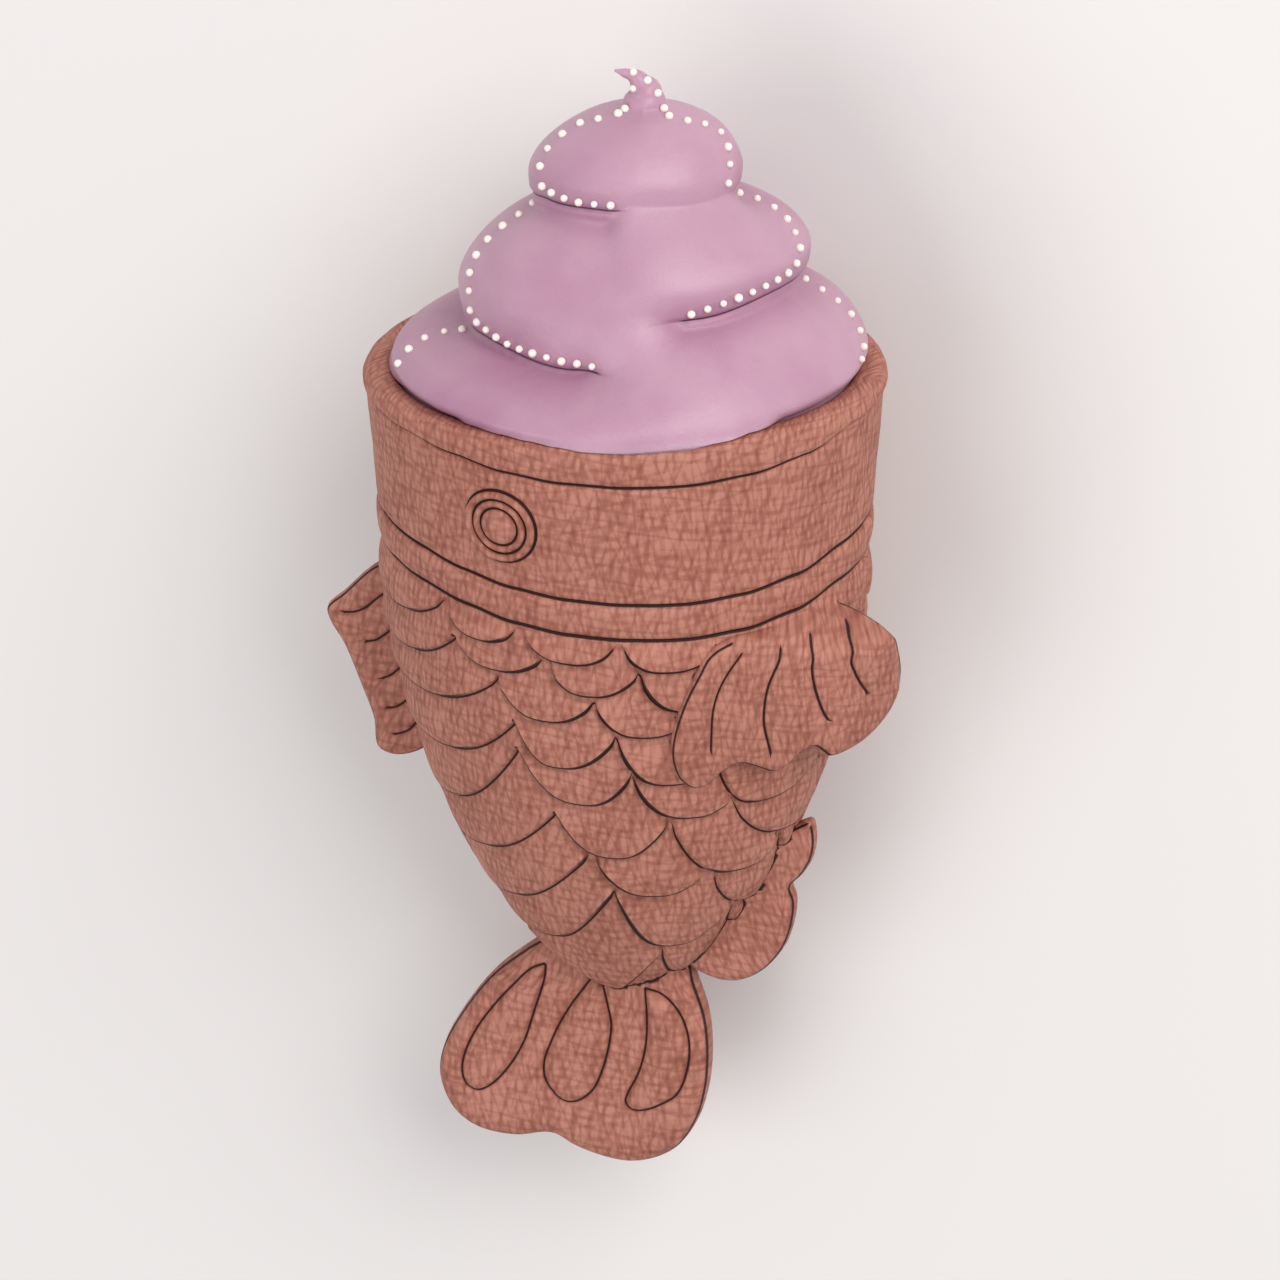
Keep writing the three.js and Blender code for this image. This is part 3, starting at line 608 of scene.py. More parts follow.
    def shell(self, eyes: Sequence[Eye]) -> Shell:
        """Builds the body.

        Args:
            eyes: The eyes whose beds are sunk in it.

        Returns:
            The closed body.
        """
        even = np.linspace(0, FULL_TURN, self.columns, endpoint=False)
        angle = even - self.crowding * np.sin(even - self.crowding_turn)
        stack = RingStack(self.columns)
        for station, lift in (*self.hollow, *self.rim):
            stack.add(station, lift)
        for station, lift, groove in self.head:
            stack.add(station, lift, groove)
        for i, station in enumerate(stack.station[len(self.hollow):], len(self.hollow)):
            stack.station[i] = station + self.rise(angle, station)
        first_scale = len(stack.station)
        self.add_scales(stack, angle)
        start = stack.station[-1]
        for share in self.end_rings:
            stack.add(mix(start, -self.length, share), 0.0, 1 - smooth(share / self.end_dark))
        station, lift, groove = (np.array(rows) for rows in (stack.station, stack.lift, stack.groove))
        angles = np.broadcast_to(angle, station.shape)
        scaly = np.arange(len(station))[:, None] >= first_scale
        ridge = self.seam(angles, station)
        off_plane = np.abs(np.cos(angles)) * self.radius(angles, station)
        marked = smooth((off_plane - self.groove_clear[0]) / self.groove_clear[1])
        raised = smooth((off_plane - self.relief_clear[0]) / self.relief_clear[1])
        groove = np.where(scaly, groove * marked, groove)
        lift = np.where(scaly, np.maximum(mix(self.plain_lift, lift, raised), ridge), lift)
        for eye in eyes:
            past_rim = eye.reach(self, angles, station) - eye.rim
            lift = lift - self.eye_bed * (1 - smooth(past_rim / self.eye_bed_rim))
        skin = smooth((np.arange(len(station))[:, None] - self.smooth_rings) / self.smooth_rings)
        bumps = crust_bumps(self.point(angles, station, lift))
        points = self.point(angles, station, lift + bumps * skin - SKIN_SUNK)
        # groove carries painted shade in the grooves, under the scales' edges and along the last rows
        return Shell.of_rings(points, {"groove": groove})


@dataclass
class Eye:
    """A round eye pressed on the flank: two rings round a domed pupil."""

    angle: float = -17.4  # degrees
    station: float = -15.7
    rim: float = 6.4
    segments: int = 84
    # Radius, lift over the flank and painted groove shade.
    profile: Sequence[tuple[float, float, float]] = (
        (0.5, 1.46, 0), (1.1, 1.42, 0), (1.8, 1.28, 0), (2.4, 1.08, 0), (2.85, 0.82, 0), (3.05, 0.5, 0.2),
        (3.18, 0.24, 0.9), (3.3, 0.16, 1), (3.42, 0.24, 0.9), (3.56, 0.55, 0.2), (3.8, 0.82, 0),
        (4.1, 0.92, 0), (4.38, 0.82, 0), (4.56, 0.5, 0.2), (4.68, 0.24, 0.9), (4.8, 0.16, 1),
        (4.92, 0.24, 0.9), (5.06, 0.55, 0.2), (5.3, 0.88, 0), (5.65, 1.02, 0), (5.98, 0.9, 0),
        (6.18, 0.5, 0.2), (6.3, 0.05, 0.9), (6.42, -0.16, 1), (6.54, -0.14, 1), (6.7, 0.0, 0.3),
        (6.95, 0.1, 0), (7.4, 0.12, 0), (7.9, 0.1, 0), (8.4, -0.14, 0), (8.4, -1.6, 0), (0.5, -1.6, 0),
    )

    def reach(self, body: FishBody, angle: np.ndarray, station: np.ndarray) -> np.ndarray:
        """Distance of places on the upper or the lower flank from the eye's middle."""
        centre = math.radians(self.angle)
        folded = np.radians(folded_degrees(angle))
        round_body = (folded - centre) * body.radius(np.array(centre), np.array(self.station))
        return np.hypot(round_body, station - self.station)

    def shell(self, body: FishBody) -> Shell:
        """Builds the eye of the upper flank.

        Args:
            body: What it is pressed on.

        Returns:
            A closed patch that fills its bed in the body.
        """
        turn = np.linspace(0, FULL_TURN, self.segments, endpoint=False)
        radius, lift, groove = (np.array(column)[:, None] for column in zip(*self.profile))
        centre = math.radians(self.angle)
        about = float(body.radius(np.array(centre), np.array(self.station)))
        angle = centre + radius * np.cos(turn) / about
        station = self.station + radius * np.sin(turn)
        bumps = crust_bumps(body.point(angle, station, lift))
        points = body.point(angle, station, lift + bumps - SKIN_SUNK)
        return Shell.of_rings(points, {"groove": np.broadcast_to(groove, angle.shape)})


def quarter_turned(steps: np.ndarray) -> np.ndarray:
    """Directions of unit length at right angles to steps in a plane."""
    return np.stack([-steps[:, 1], steps[:, 0]], axis=1) / np.linalg.norm(steps, axis=1)[:, None]


@dataclass(frozen=True)
class Ray:
    """A line pressed into a fin, in the fin's plane."""

    points: Pairs
    depth: float = 0.5
    hollow: float = 0.0  # depth of the soft hollow that it runs in
    reach: float = 1.8  # how far the hollow spreads
    spacing: float = 0.55


@dataclass
class PressedFin:
    """A fin with rounded edges, pressed in the iron from both faces."""

    outline: Pairs
    half_thickness: float
    rays: Sequence[Ray] = ()
    pads: Sequence[Pairs] = ()
    pad_height: float = 0.8
    grown: Pairs = ()  # the stretch of its outline that has grown out of the body, with no line pressed
    edge: float = 2.2  # over which its edge is rounded
    # The painted dark line of shade inside its rounded edge: distance inwards and groove.
    edge_shade_line: Pairs = ((0, 0.15), (0.14, 0.2), (0.3, 0.9), (0.46, 0.9), (0.64, 0.1), (0.9, 0))
    unmarked: float = 0.7  # distance from the grown stretch without that line, and then over which it comes
    pad_edge: float = 1.4  # over which a pad rises
    ray_floor: float = 0.08  # half-width of a ray's floor
    ray_wall: float = 0.4  # width of its wall
    bumps: Bumps = Bumps(0.1, 6.0, 5.5)
    stretch: float = 1.0  # millimetres for each unit of the plane's first coordinate

    outline_spacing: float = 0.7
    pad_spacing: float = 0.8
    spacing: float = 1.35  # of the points away from lines
    grid_clear: float = 2.2  # from those points to the outline
    beside_rays: tuple[float, ...] = (0.2, 0.42, 0.85)  # rows of points on both sides of a ray
    inside_edge: tuple[float, ...] = (0.14, 0.3, 0.46, 0.64, 1.0, 1.7)  # rows of points inside the outline
    ray_clear: float = 0.35  # from a ray's points to the outline
    ray_gap: float = 0.12  # from a ray's points to those placed before
    beside_gap: float = 0.16  # the same for the rows beside it

    def layout(
        self,
    ) -> tuple[np.ndarray, list[list[int]], int, np.ndarray, list[np.ndarray], list[np.ndarray]]:
        """Places points closely along its outline and rays, evenly elsewhere, and joins them by triangles.

        Returns:
            The points, the triangles, how many first points are the outline, and the paths of the outline,
            the rays and the pads, all in millimetres in its plane.
        """
        scale = np.array([self.stretch, 1.0])
        rim = curve_through(np.array(self.outline) * scale, self.outline_spacing, True)
        paths = [curve_through(np.array(ray.points) * scale, ray.spacing, False) for ray in self.rays]
        pads = [curve_through(np.array(pad) * scale, self.pad_spacing, True) for pad in self.pads]
        kept = [rim]

        def add(places: np.ndarray, from_rim: float, gap: float) -> None:
            """Keeps places well inside the outline and clear of those kept before."""
            places = places[is_inside(places, rim)]
            places = places[gap_to(places, rim, True) > from_rim - 0.02]
            for known in kept:
                if not len(places):
                    return
                near = np.sqrt(((places[:, None] - known[None]) ** 2).sum(axis=2)).min(axis=1)
                places = places[near > gap]
            cells = np.unique((places / gap).round().astype(int), axis=0, return_index=True)[1]
            if len(cells):
                kept.append(places[np.sort(cells)])

        for path in paths:
            add(path, self.ray_clear, self.ray_gap)
        for offset in self.beside_rays:
            for path in paths:
                normal = quarter_turned(np.gradient(path, axis=0))
                for side in (offset, -offset):
                    places = path + normal * side
                    clear = gap_to(places, path, False) > offset - 0.03
                    add(places[clear], self.ray_clear, self.beside_gap)
        inward = quarter_turned(np.roll(rim, -1, axis=0) - np.roll(rim, 1, axis=0))
        if not is_inside(rim[:1] + inward[:1] * 0.1, rim)[0]:
            inward = -inward
        for offset in self.inside_edge:
            add(rim + inward * offset, offset * 0.97, min(0.3, offset * 0.4))
        low, high = rim.min(axis=0), rim.max(axis=0)
        rows = np.arange(low[1], high[1], self.spacing * TRIANGLE_ROWS)
        grid = [
            (x + (self.spacing / 2 if i % 2 else 0), y)
            for i, y in enumerate(rows)
            for x in np.arange(low[0], high[0], self.spacing)
        ]
        add(np.array(grid), self.grid_clear, self.spacing * 0.55)
        given = np.vstack(kept)
        loop = [(i, (i + 1) % len(rim)) for i in range(len(rim))]
        made, _, faces, _, _, _ = delaunay_2d_cdt([Vector(p) for p in given], loop, [], 1, 1e-6)
        return np.array([tuple(p) for p in made]), faces, len(rim), rim, paths, pads

    def shell(self, place: Placing, root: Thickening) -> Shell:
        """Builds the fin.

        Args:
            place: Turns its two plane coordinates and a height over its middle plane into points.
            root: Gives the extra half-thickness where it grows out of the body.

        Returns:
            The closed fin.
        """
        flat, faces, count, rim, paths, pads = self.layout()
        from_rim = gap_to(flat, rim, True)
        from_rim[:count] = 0
        rounded = np.sqrt(1 - (1 - np.clip(from_rim / self.edge, 0, 1)) ** 2)
        height = np.full(len(flat), self.half_thickness)
        # groove carries painted shade: a painted line inside the edge and one along each pressed ray
        groove = along(self.edge_shade_line, from_rim)
        if self.grown:
            from_grown = gap_to(flat, np.array(self.grown) * (self.stretch, 1.0), False)
            groove *= smooth((from_grown - self.unmarked) / self.unmarked)
        for pad in pads:
            inside = np.where(is_inside(flat, pad), gap_to(flat, pad, True), 0)
            height += self.pad_height * smooth(inside / self.pad_edge)
        for ray, path in zip(self.rays, paths):
            gap = gap_to(flat, path, False)
            pressed = ray.depth * (1 - smooth((gap - self.ray_floor) / self.ray_wall))
            height -= pressed + ray.hollow * np.exp(-((gap / ray.reach) ** 2))
            groove = np.maximum(groove, drawn_line(gap))
        x, y = flat[:, 0] / self.stretch, flat[:, 1]
        height = (height + root(x, y)) * rounded
        upper, lower = place(x, y, height), place(x, y, -height)
        wobble = self.bumps.at(upper) * rounded
        upper, lower = place(x, y, height + wobble), place(x, y, -height - wobble)
        total = len(flat)
        index = np.concatenate([np.arange(count), np.arange(total - count) + total])
        under = [tuple(int(index[i]) for i in reversed(face)) for face in faces]
        points = np.vstack([upper, lower[count:]])
        grooves = np.append(groove, groove[count:])
        return Shell(points, [tuple(face) for face in faces] + under, {"groove": grooves})


# Outlines of the tail's three raised pads, and where the line round each of them ends, close to its start.
TAIL_PADS: tuple[Pairs, ...] = (
    (
        (-12.8, -109.5), (-15.4, -110.9), (-18.4, -114.2), (-21.8, -118.5), (-24.9, -123.3), (-27, -128),
        (-27.7, -131.7), (-27, -134.2), (-25, -135.3), (-22.6, -134), (-19.5, -130.2), (-16.8, -125.1),
        (-14.8, -118.6), (-13, -112.2),
    ),
    (
        (-4.2, -110.2), (-6, -113.1), (-8.2, -116.5), (-10.4, -120.6), (-12.1, -124.8), (-13.1, -127.9),
        (-13.1, -131.2), (-11.5, -133.9), (-9.5, -135.3), (-7.3, -135), (-4.7, -132.6), (-2.9, -128.3),
        (-1.7, -123), (-1.4, -119.4), (-1.9, -116.5), (-2.6, -113.2),
    ),
    (
        (4.5, -111.9), (4.8, -116.4), (4.8, -120.7), (4.3, -124.8), (3.1, -128.9), (1.6, -132.1),
        (1.1, -134), (2.3, -135.3), (4.7, -135.1), (7.3, -133.7), (10, -131.5), (11.8, -126.7),
        (12.2, -121.9), (11.3, -117.6), (9.6, -114.6), (7.3, -112.6),
    ),
)
TAIL_LINE_ENDS = ((-12.8, -109.6), (-3.3, -110.6), (4.6, -111.9))


@dataclass
class WaffleFish:
    """The baked fish: body, eyes and fins grown together."""

    body: FishBody = field(default_factory=FishBody)
    eye: Eye = field(default_factory=Eye)
    dorsal: PressedFin = field(default_factory=lambda: PressedFin(
        outline=(
            (-36, -43), (-41.2, -40.3), (-48.3, -46.5), (-51.2, -49.5), (-50.6, -52.1), (-48.4, -55.7),
            (-45.6, -62.7), (-43.4, -68.9), (-42.7, -74.2), (-39.1, -75.4), (-33, -72), (-30, -57),
        ),
        half_thickness=2.6,
        rays=(
            Ray((
                (-39.4, -44.4), (-40.8, -45.4), (-42.4, -46.8), (-44.2, -48.5), (-46, -49.4), (-47.8, -49.7),
            ), 0.5, 0.35),
            Ray(((-38.4, -50.9), (-39.6, -51.8), (-40.9, -53), (-42.5, -54.2), (-44.1, -54.6)), 0.5, 0.35),
            Ray(((-37.3, -58), (-38.5, -58.9), (-39.8, -60.2), (-41.3, -61)), 0.5, 0.35),
            Ray(((-35.8, -63.3), (-37, -64.3), (-38.3, -65.5), (-39.6, -66.2), (-40.5, -66.3)), 0.5, 0.35),
            Ray(((-34.6, -67.5), (-35.7, -68.6), (-36.8, -69.9), (-38.1, -70.7), (-39.4, -71.1)), 0.5, 0.35),
        ),
    ))
    anal: PressedFin = field(default_factory=lambda: PressedFin(
        outline=(
            (24, -84), (30, -79.6), (32.1, -78.8), (32.9, -81.9), (32.4, -85.6), (30.7, -88.9),
            (28.9, -91.2), (29.6, -93.6), (29.3, -97.9), (27.7, -102.8), (24.2, -107.5), (19.9, -110),
            (15.6, -110), (11, -107.4), (9, -100),
        ),
        half_thickness=2.8,
    ))
    tail: PressedFin = field(default_factory=lambda: PressedFin(
        outline=(
            (-13, -105.6), (-18.4, -109.6), (-23.3, -114.4), (-28.4, -121.9), (-31.6, -128.4),
            (-32.6, -133.6), (-31.6, -138), (-29.2, -141.6), (-25.2, -143.9), (-18.8, -144.5),
            (-12.2, -143.2), (-8.9, -144.8), (-4.5, -146.2), (0.8, -146.8), (5.2, -145.8), (9.6, -142.9),
            (13.1, -137), (14.8, -130.1), (15.1, -122.4), (14.4, -116.8), (12.6, -111.2), (11, -106),
            (0, -101),
        ),
        half_thickness=4.4,
        edge=3.4,
        rays=tuple(Ray((*pad, end), 0.55) for pad, end in zip(TAIL_PADS, TAIL_LINE_ENDS)),
        pads=TAIL_PADS,
    ))
    pectoral: PressedFin = field(default_factory=lambda: PressedFin(
        outline=(
            (40, -34.8), (35.6, -36.8), (33.4, -39.8), (30.3, -44.6), (28, -50.4), (27.5, -54.5),
            (28.4, -57.6), (30.5, -60.3), (34.5, -62.2), (38.3, -61.9), (42.3, -59.2), (45.7, -57.9),
            (51.1, -59.2), (53.8, -60), (56.2, -59.5), (59.1, -56.7), (61.3, -55.7), (63.2, -56.8),
            (65.7, -58.4), (70.8, -57.7), (76.2, -55.4), (79.6, -52.9), (81.6, -49.4), (82, -46),
            (79.5, -41.8), (77.2, -38.6), (77.5, -36.8), (76.6, -35.2), (74.2, -33.6), (71, -32.9),
            (66, -33), (53, -34),
        ),
        half_thickness=1.6,
        edge=1.7,
        stretch=0.66,
        grown=((43.5, -34.5), (53, -34), (66, -33), (70, -32.9)),
        rays=(
            Ray((
                (43.5, -37.2), (41.2, -39.6), (38.8, -43.2), (37.7, -47.1), (37.8, -51.2), (38.2, -54.8),
            ), 0.45, 0.45),
            Ray((
                (52.8, -36.9), (51.4, -39.8), (50.1, -43.3), (49.7, -46.9), (50.1, -50.2), (52.6, -56.1),
            ), 0.45, 0.45),
            Ray((
                (60.8, -35.9), (59.3, -37.5), (58.6, -40.1), (59.4, -43.5), (60.7, -46.6), (62.3, -49.4),
                (63.5, -50.9),
            ), 0.45, 0.45),
            Ray((
                (70.8, -36), (67.8, -37.6), (66.5, -40.3), (67.6, -42.8), (69.2, -45.1), (70.9, -47),
            ), 0.45, 0.45),
        ),
    ))
    # On the upper flank and the lower: a pectoral fin's turn, its middle's lift and what its free lobe adds.
    pectorals: tuple[tuple[float, float, float], ...] = ((0.0, 1.2, 8.6), (-9.0, -0.4, -1.2))
    flare_from: float = 38.0  # degrees from which its lobe flares
    flare_to: float = 82.0  # degrees where it flares in full
    root_station: float = -34.0
    root_length: float = 5.5  # over which it comes to its full flare
    root_sunk: float = 1.9  # how deep its root lies in the flank
    root_end: float = 0.8  # how far the sunk root reaches past its station
    root_rise: float = 2.0  # over which it comes out of the flank
    fillet_height: float = 1.5  # what a flat fin's half-thickness gains at the body
    fillet_fall: float = 1.1  # distance over which that falls off
    joint_shade_zone: float = 8.0  # half-width of the zone about the fish's plane where joints get a painted line of shade
    joint_gap: float = 2e-3  # a point this far from all points of the parts was made where they meet

    def pectoral_place(self, turn: float, lift: float, flare: float) -> Placing:
        """Makes the function that places a pectoral fin, whose lower lobe may flare off the flank.

        Args:
            turn: Degrees that it is moved round the body.
            lift: Of its middle off the flank.
            flare: What its free lobe adds.

        Returns:
            A function of degrees, station and height that gives points.
        """
        def place(degrees: np.ndarray, station: np.ndarray, height: np.ndarray) -> np.ndarray:
            """Points at a height off its middle."""
            outward = smooth((degrees - self.flare_from) / (self.flare_to - self.flare_from))
            down = smooth((self.root_station - station) / self.root_length)
            out = smooth((self.root_station + self.root_end - station) / self.root_rise)
            sunk = self.root_sunk * (1 - out)
            lifted = lift - sunk + flare * outward * down + height
            return self.body.point(np.radians(degrees + turn), station, lifted)
        return place

    def fillet(self, side: float) -> Thickening:
        """Extra half-thickness of a flat fin close to the body.

        Args:
            side: 1 on the belly side and -1 on the back.

        Returns:
            A function of the fin's plane coordinates.
        """
        def extra(x: np.ndarray, station: np.ndarray) -> np.ndarray:
            """Falls off with the distance from the body."""
            off = side * x - self.body.radius(np.full_like(x, math.pi / 2), station)
            return self.fillet_height * np.exp(-np.maximum(off, 0) / self.fillet_fall)
        return extra

    def build(self) -> bpy.types.Object:
        """Builds the whole waffle as one closed mesh in the fish's frame."""
        def in_plane(x: np.ndarray, y: np.ndarray, height: np.ndarray) -> np.ndarray:
            """Places a fin in the fish's plane."""
            return np.stack([x, y, height], axis=-1)

        def none(x: np.ndarray, y: np.ndarray) -> np.ndarray:
            """No extra thickness."""
            return np.zeros_like(x)

        eye = self.eye.shell(self.body)
        upper, lower = (self.pectoral.shell(self.pectoral_place(*how), none) for how in self.pectorals)
        shells = [
            self.body.shell([self.eye]), self.dorsal.shell(in_plane, self.fillet(-1)),
            self.anal.shell(in_plane, self.fillet(1)), self.tail.shell(in_plane, none),
            eye, eye.mirrored(), upper, lower.mirrored(),
        ]
        for shell in shells:
            log.info("shell of %d faces", len(shell.faces))
        waffle = unite([shell.to_object(f"shell_{i}") for i, shell in enumerate(shells)], "waffle")
        self.mark(waffle, shells)
        return waffle

    def mark(self, waffle: bpy.types.Object, shells: Sequence[Shell]) -> None:
        """Carries the grooves' painted shade over to the united mesh, and paints shade along the joints of
        the flat fins.

        Args:
            waffle: The united mesh.
            shells: What it was made of.
        """
        known = KDTree(sum(len(shell.points) for shell in shells))
        grooves = np.concatenate([shell.marks["groove"] for shell in shells])
        for i, point in enumerate(np.vstack([shell.points for shell in shells])):
            known.insert(point, i)
        known.balance()
        places = points_of(waffle.data)
        values = np.zeros(len(places))
        fresh = np.zeros(len(places), bool)
        for i, point in enumerate(places):
            _, nearest, gap = known.find(point)
            values[i] = grooves[nearest]
            fresh[i] = gap > self.joint_gap
        # painted shade along the joints of the flat fins
        values[fresh & (np.abs(places[:, 2]) < self.joint_shade_zone)] = 1.0
        attributes = waffle.data.attributes
        groove = attributes.get("groove") or attributes.new("groove", "FLOAT", "POINT")
        groove.data.foreach_set("value", values.astype(np.float32))
        unrolled = attributes.new("unrolled", "FLOAT_VECTOR", "POINT")
        unrolled.data.foreach_set("vector", self.unrolled(places).astype(np.float32).reshape(-1))

    def unrolled(self, places: np.ndarray) -> np.ndarray:
        """Lays the surface out flat: the arc from a flank's middle, the way to the mouth and nothing."""
        x, station, z = places.T
        angle, off = np.arctan2(x, np.abs(z)), np.hypot(x, z)
        past = off - self.body.radius(angle, station)
        arc = angle * (off - np.maximum(past, 0)) + np.sin(angle) * np.maximum(past, 0)
        return np.stack([arc, station - np.minimum(past, 0), np.zeros_like(arc)], axis=-1)


def unite(parts: Sequence[bpy.types.Object], name: str) -> bpy.types.Object:
    """Unites overlapping closed meshes into one.

    Args:
        parts: The meshes; they are removed.
        name: Name of the new object.

    Returns:
        The united object, as plain mesh.
    """
    base = parts[0]
    for part in parts[1:]:
        join = base.modifiers.new(part.name, "BOOLEAN")
        join.operation = "UNION"
        join.solver = "MANIFOLD"
        join.object = part
    graph = bpy.context.evaluated_depsgraph_get()
    mesh = bpy.data.meshes.new_from_object(base.evaluated_get(graph))
    made = bpy.data.objects.new(name, mesh)
    bpy.context.scene.collection.objects.link(made)
    for part in parts:
        discard(part)
    mesh.name = name
    mesh.shade_smooth()
    return made


# ---- The soft serve ----


@dataclass(frozen=True)
class Tier:
    """One turn of the swirl."""

    radius: float
    shift: float  # of its axis to the belly side
    middle: float  # height at which its axis has that shift
    top: float  # share of its radius at its upper crease
    fall: float  # power of its shoulder
    widest: float  # share of its height where it is widest


@dataclass
class SoftServe:
    """The swirl of soft serve in the mouth, with its curled tip."""

    body: FishBody
    facing: float = 15.0  # degrees towards the belly, where the ropes of cream end
    azimuths: int = 320
    crown: float = 44.0  # height over the rim where its curl begins
    blend: float = 22.0  # degrees from the front over which the ends of its ropes melt together
    crease_blend: float = 7.0  # the same for the heights of its creases
    sharp: float = 0.45  # roundness of a crease
    faded: float = 13.0  # its roundness where it has run out
    # Where the cream's edge lies on the rim: azimuth, and how far outside the plain body's surface.
    seat: Pairs = (
        (0, 0.1), (14, 0), (24, -0.5), (32, -1.6), (45, -4.6), (60, -4.85), (100, -4.4), (180, -4.4),
        (262, -4), (276, -4), (288, -4.85), (300, -4.85), (310, -3.8), (318, -2.4), (328, -1.5),
        (336, -0.9), (343, -0.35), (350, 0), (360, 0.1),
    )
    seat_clear: float = 0.1  # more room than the fit gap under its edge
    undercut: float = 0.05  # share by which a tier narrows below its widest
    undercut_height: float = 5.0  # the least height over which it does
    oval_from: float = 18.0  # height from which it's a plain oval
    # Azimuth from which the upper crease runs out, and that up to which it has still run out past the front,
    # each with the degrees over which it changes.
    upper_end: tuple[float, float] = (338.0, 22.0)
    upper_start: tuple[float, float] = (60.0, 25.0)
    # Height over that crease up to which the tiers melt together there, and over which that ends.
    melted: tuple[float, float] = (3.0, 7.0)
    bulge: float = 3.0  # height over which the cream swells from its seat to its full width
    # Shares of the radius at the rim: the mean, then waves of one and two turns.
    waves: tuple[float, float, float] = (0.975, 0.01, -0.012)
    depth: float = 0.88  # of the upper turns, front to back, over their width
    tiers: tuple[Tier, Tier, Tier] = (
        Tier(39.2, 0.9, 0, 0.6, 1.7, 0.15),
        Tier(28.5, 1.6, 18, 0.31, 1.6, 0.3),
        Tier(17.3, 1.8, 34, 0.1, 1.6, 0.24),
    )
    lower_crease: Pairs = (
        (0, 15.6), (25, 15.8), (60, 17.4), (90, 16.4), (135, 13.8), (180, 10.8), (225, 8.8), (270, 7.7),
        (300, 8.7), (335, 7.6), (348, 8.1), (360, 8.8),
    )
    upper_crease: Pairs = (
        (0, 31.6), (45, 31.2), (90, 31), (180, 30.2), (270, 29.4), (300, 30.7), (340, 31.1), (360, 31.6),
    )
    # The spine of its curl as it's seen from the front: to the right, up, and the curl's radius.
    curl: Sequence[tuple[float, float, float]] = (
        (3.2, 44, 4.1), (3.1, 46.6, 2.75), (1.7, 48.5, 1.55), (-0.2, 49.3, 0.8), (-1.7, 49.7, 0.2),
    )
    curl_step: float = 0.12  # between points of the spine
    curl_span: tuple[float, float] = (0.02, 0.985)  # shares of the spine at its first and its last ring

    bumps: Bumps = Bumps(0.22, 9.0, 1.7)
    skin_sunk: float = 0.1  # how far the middle of the bumps lies under the smooth form
    smooth_seat: float = 2.0  # height over its seat over which the bumps grow
    smooth_crown: float = 1.5  # height under the crown over which they end
    crease_cut: float = 0.5  # how deep a crease is cut
    crease_width: float = 0.55
    # how far the painted shade of a crease goes at its middle
    crease_painted_shade: float = 0.8
    shadow_width: float = 4.2  # of the soft shadow along a crease
    shadow_tint: float = 0.55
    # Degrees from the front where the thin painted line of shade in the lower crease begins, to the right
    # and to the left, and over which it comes in full; then the same of the upper crease for both sides.
    low_line_from: tuple[float, float] = (13, 6)
    low_line_over: float = 7
    high_line_from: float = 1
    high_line_over: float = 12
    # The shade low down at the left: degrees from the front, and heights over the rim.
    shade_from: float = 10
    shade_over: float = 30
    shade_height: float = 2
    shade_fall: float = 7
    shade_tint: float = 0.36

    seat_rings: tuple[float, ...] = (0.25, 0.5, 0.75, 0.9, 1.0)  # shares of the way from plug to edge
    tier_rings: tuple[int, int, int] = (40, 56, 44)
    ring_crowding: float = 0.75  # how much rings crowd towards the creases
    curl_rings: int = 34
    melt_rings: int = 7  # rings to each side of the curl's first that are smoothed
    melt_passes: int = 14
    melt_share: float = 0.6  # how far each pass moves a ring to the middle of its neighbours

    def tier_radius(
        self, tier: Tier, below: np.ndarray, above: np.ndarray, height: np.ndarray,
    ) -> np.ndarray:
        """Radius of one tier at a height, between its crease below and its crease above."""
        widest = mix(below, above, tier.widest)
        under = np.clip((widest - height) / np.maximum(widest - below, self.undercut_height), 0, 1)
        reach = (1 - tier.top ** 2) ** (1 / tier.fall)
        up = np.clip(reach * (height - widest) / (above - widest), 0, 1)
        shoulder = np.sqrt(np.maximum(1 - up ** tier.fall, 0))
        return tier.radius * np.where(height <= widest, 1 - self.undercut * under ** 2, shoulder)

    def fades(self, place: np.ndarray) -> tuple[np.ndarray, np.ndarray]:
        """How far the lower and the upper crease have run out at an azimuth from 0 to 360."""
        low = smooth(1 - np.minimum(place, 360 - place) / self.blend)
        (end, end_over), (start, start_over) = self.upper_end, self.upper_start
        at_end = smooth((place - end) / end_over)
        return low, np.maximum(at_end, smooth(1 - np.maximum(place - start, 0) / start_over))

    def rope_radius(self, place: np.ndarray, height: np.ndarray) -> np.ndarray:
        """Radius of the swirl's ropes at an azimuth from 0 to 360."""
        low, high = along(self.lower_crease, place), along(self.upper_crease, place)
        low_fade, high_fade = self.fades(place)
        bottom = self.tier_radius(self.tiers[0], np.zeros_like(low), low, height)
        middle = self.tier_radius(self.tiers[1], low, high, height)
        top = self.tier_radius(self.tiers[2], high, np.full_like(low, self.crown), height)
        lower = soft_max(bottom, middle, mix(self.sharp, self.faded, low_fade))
        high_fade = high_fade * (1 - smooth((height - high - self.melted[0]) / self.melted[1]))
        return soft_max(lower, top, mix(self.sharp, self.faded, high_fade))

    def joined_up(
        self, measure: Callable[[np.ndarray], np.ndarray], azimuth: np.ndarray, blend: float,
    ) -> np.ndarray:
        """Takes a measure round the whole swirl, whose two ends melt into each other at the front.

        Args:
            measure: The measure by azimuth, from 0 to 360.
            azimuth: Where it is wanted.
            blend: How far from the front the ends melt, in degrees.

        Returns:
            The measure.
        """
        turned = azimuth % 360
        off = np.where(turned > 180, turned - 360, turned)
        share = smooth((off + blend) / (2 * blend))
        joined = mix(measure(np.minimum(360 + off, 360.0)), measure(np.maximum(off, 0.0)), share)
        return np.where(np.abs(off) >= blend, measure(turned), joined)

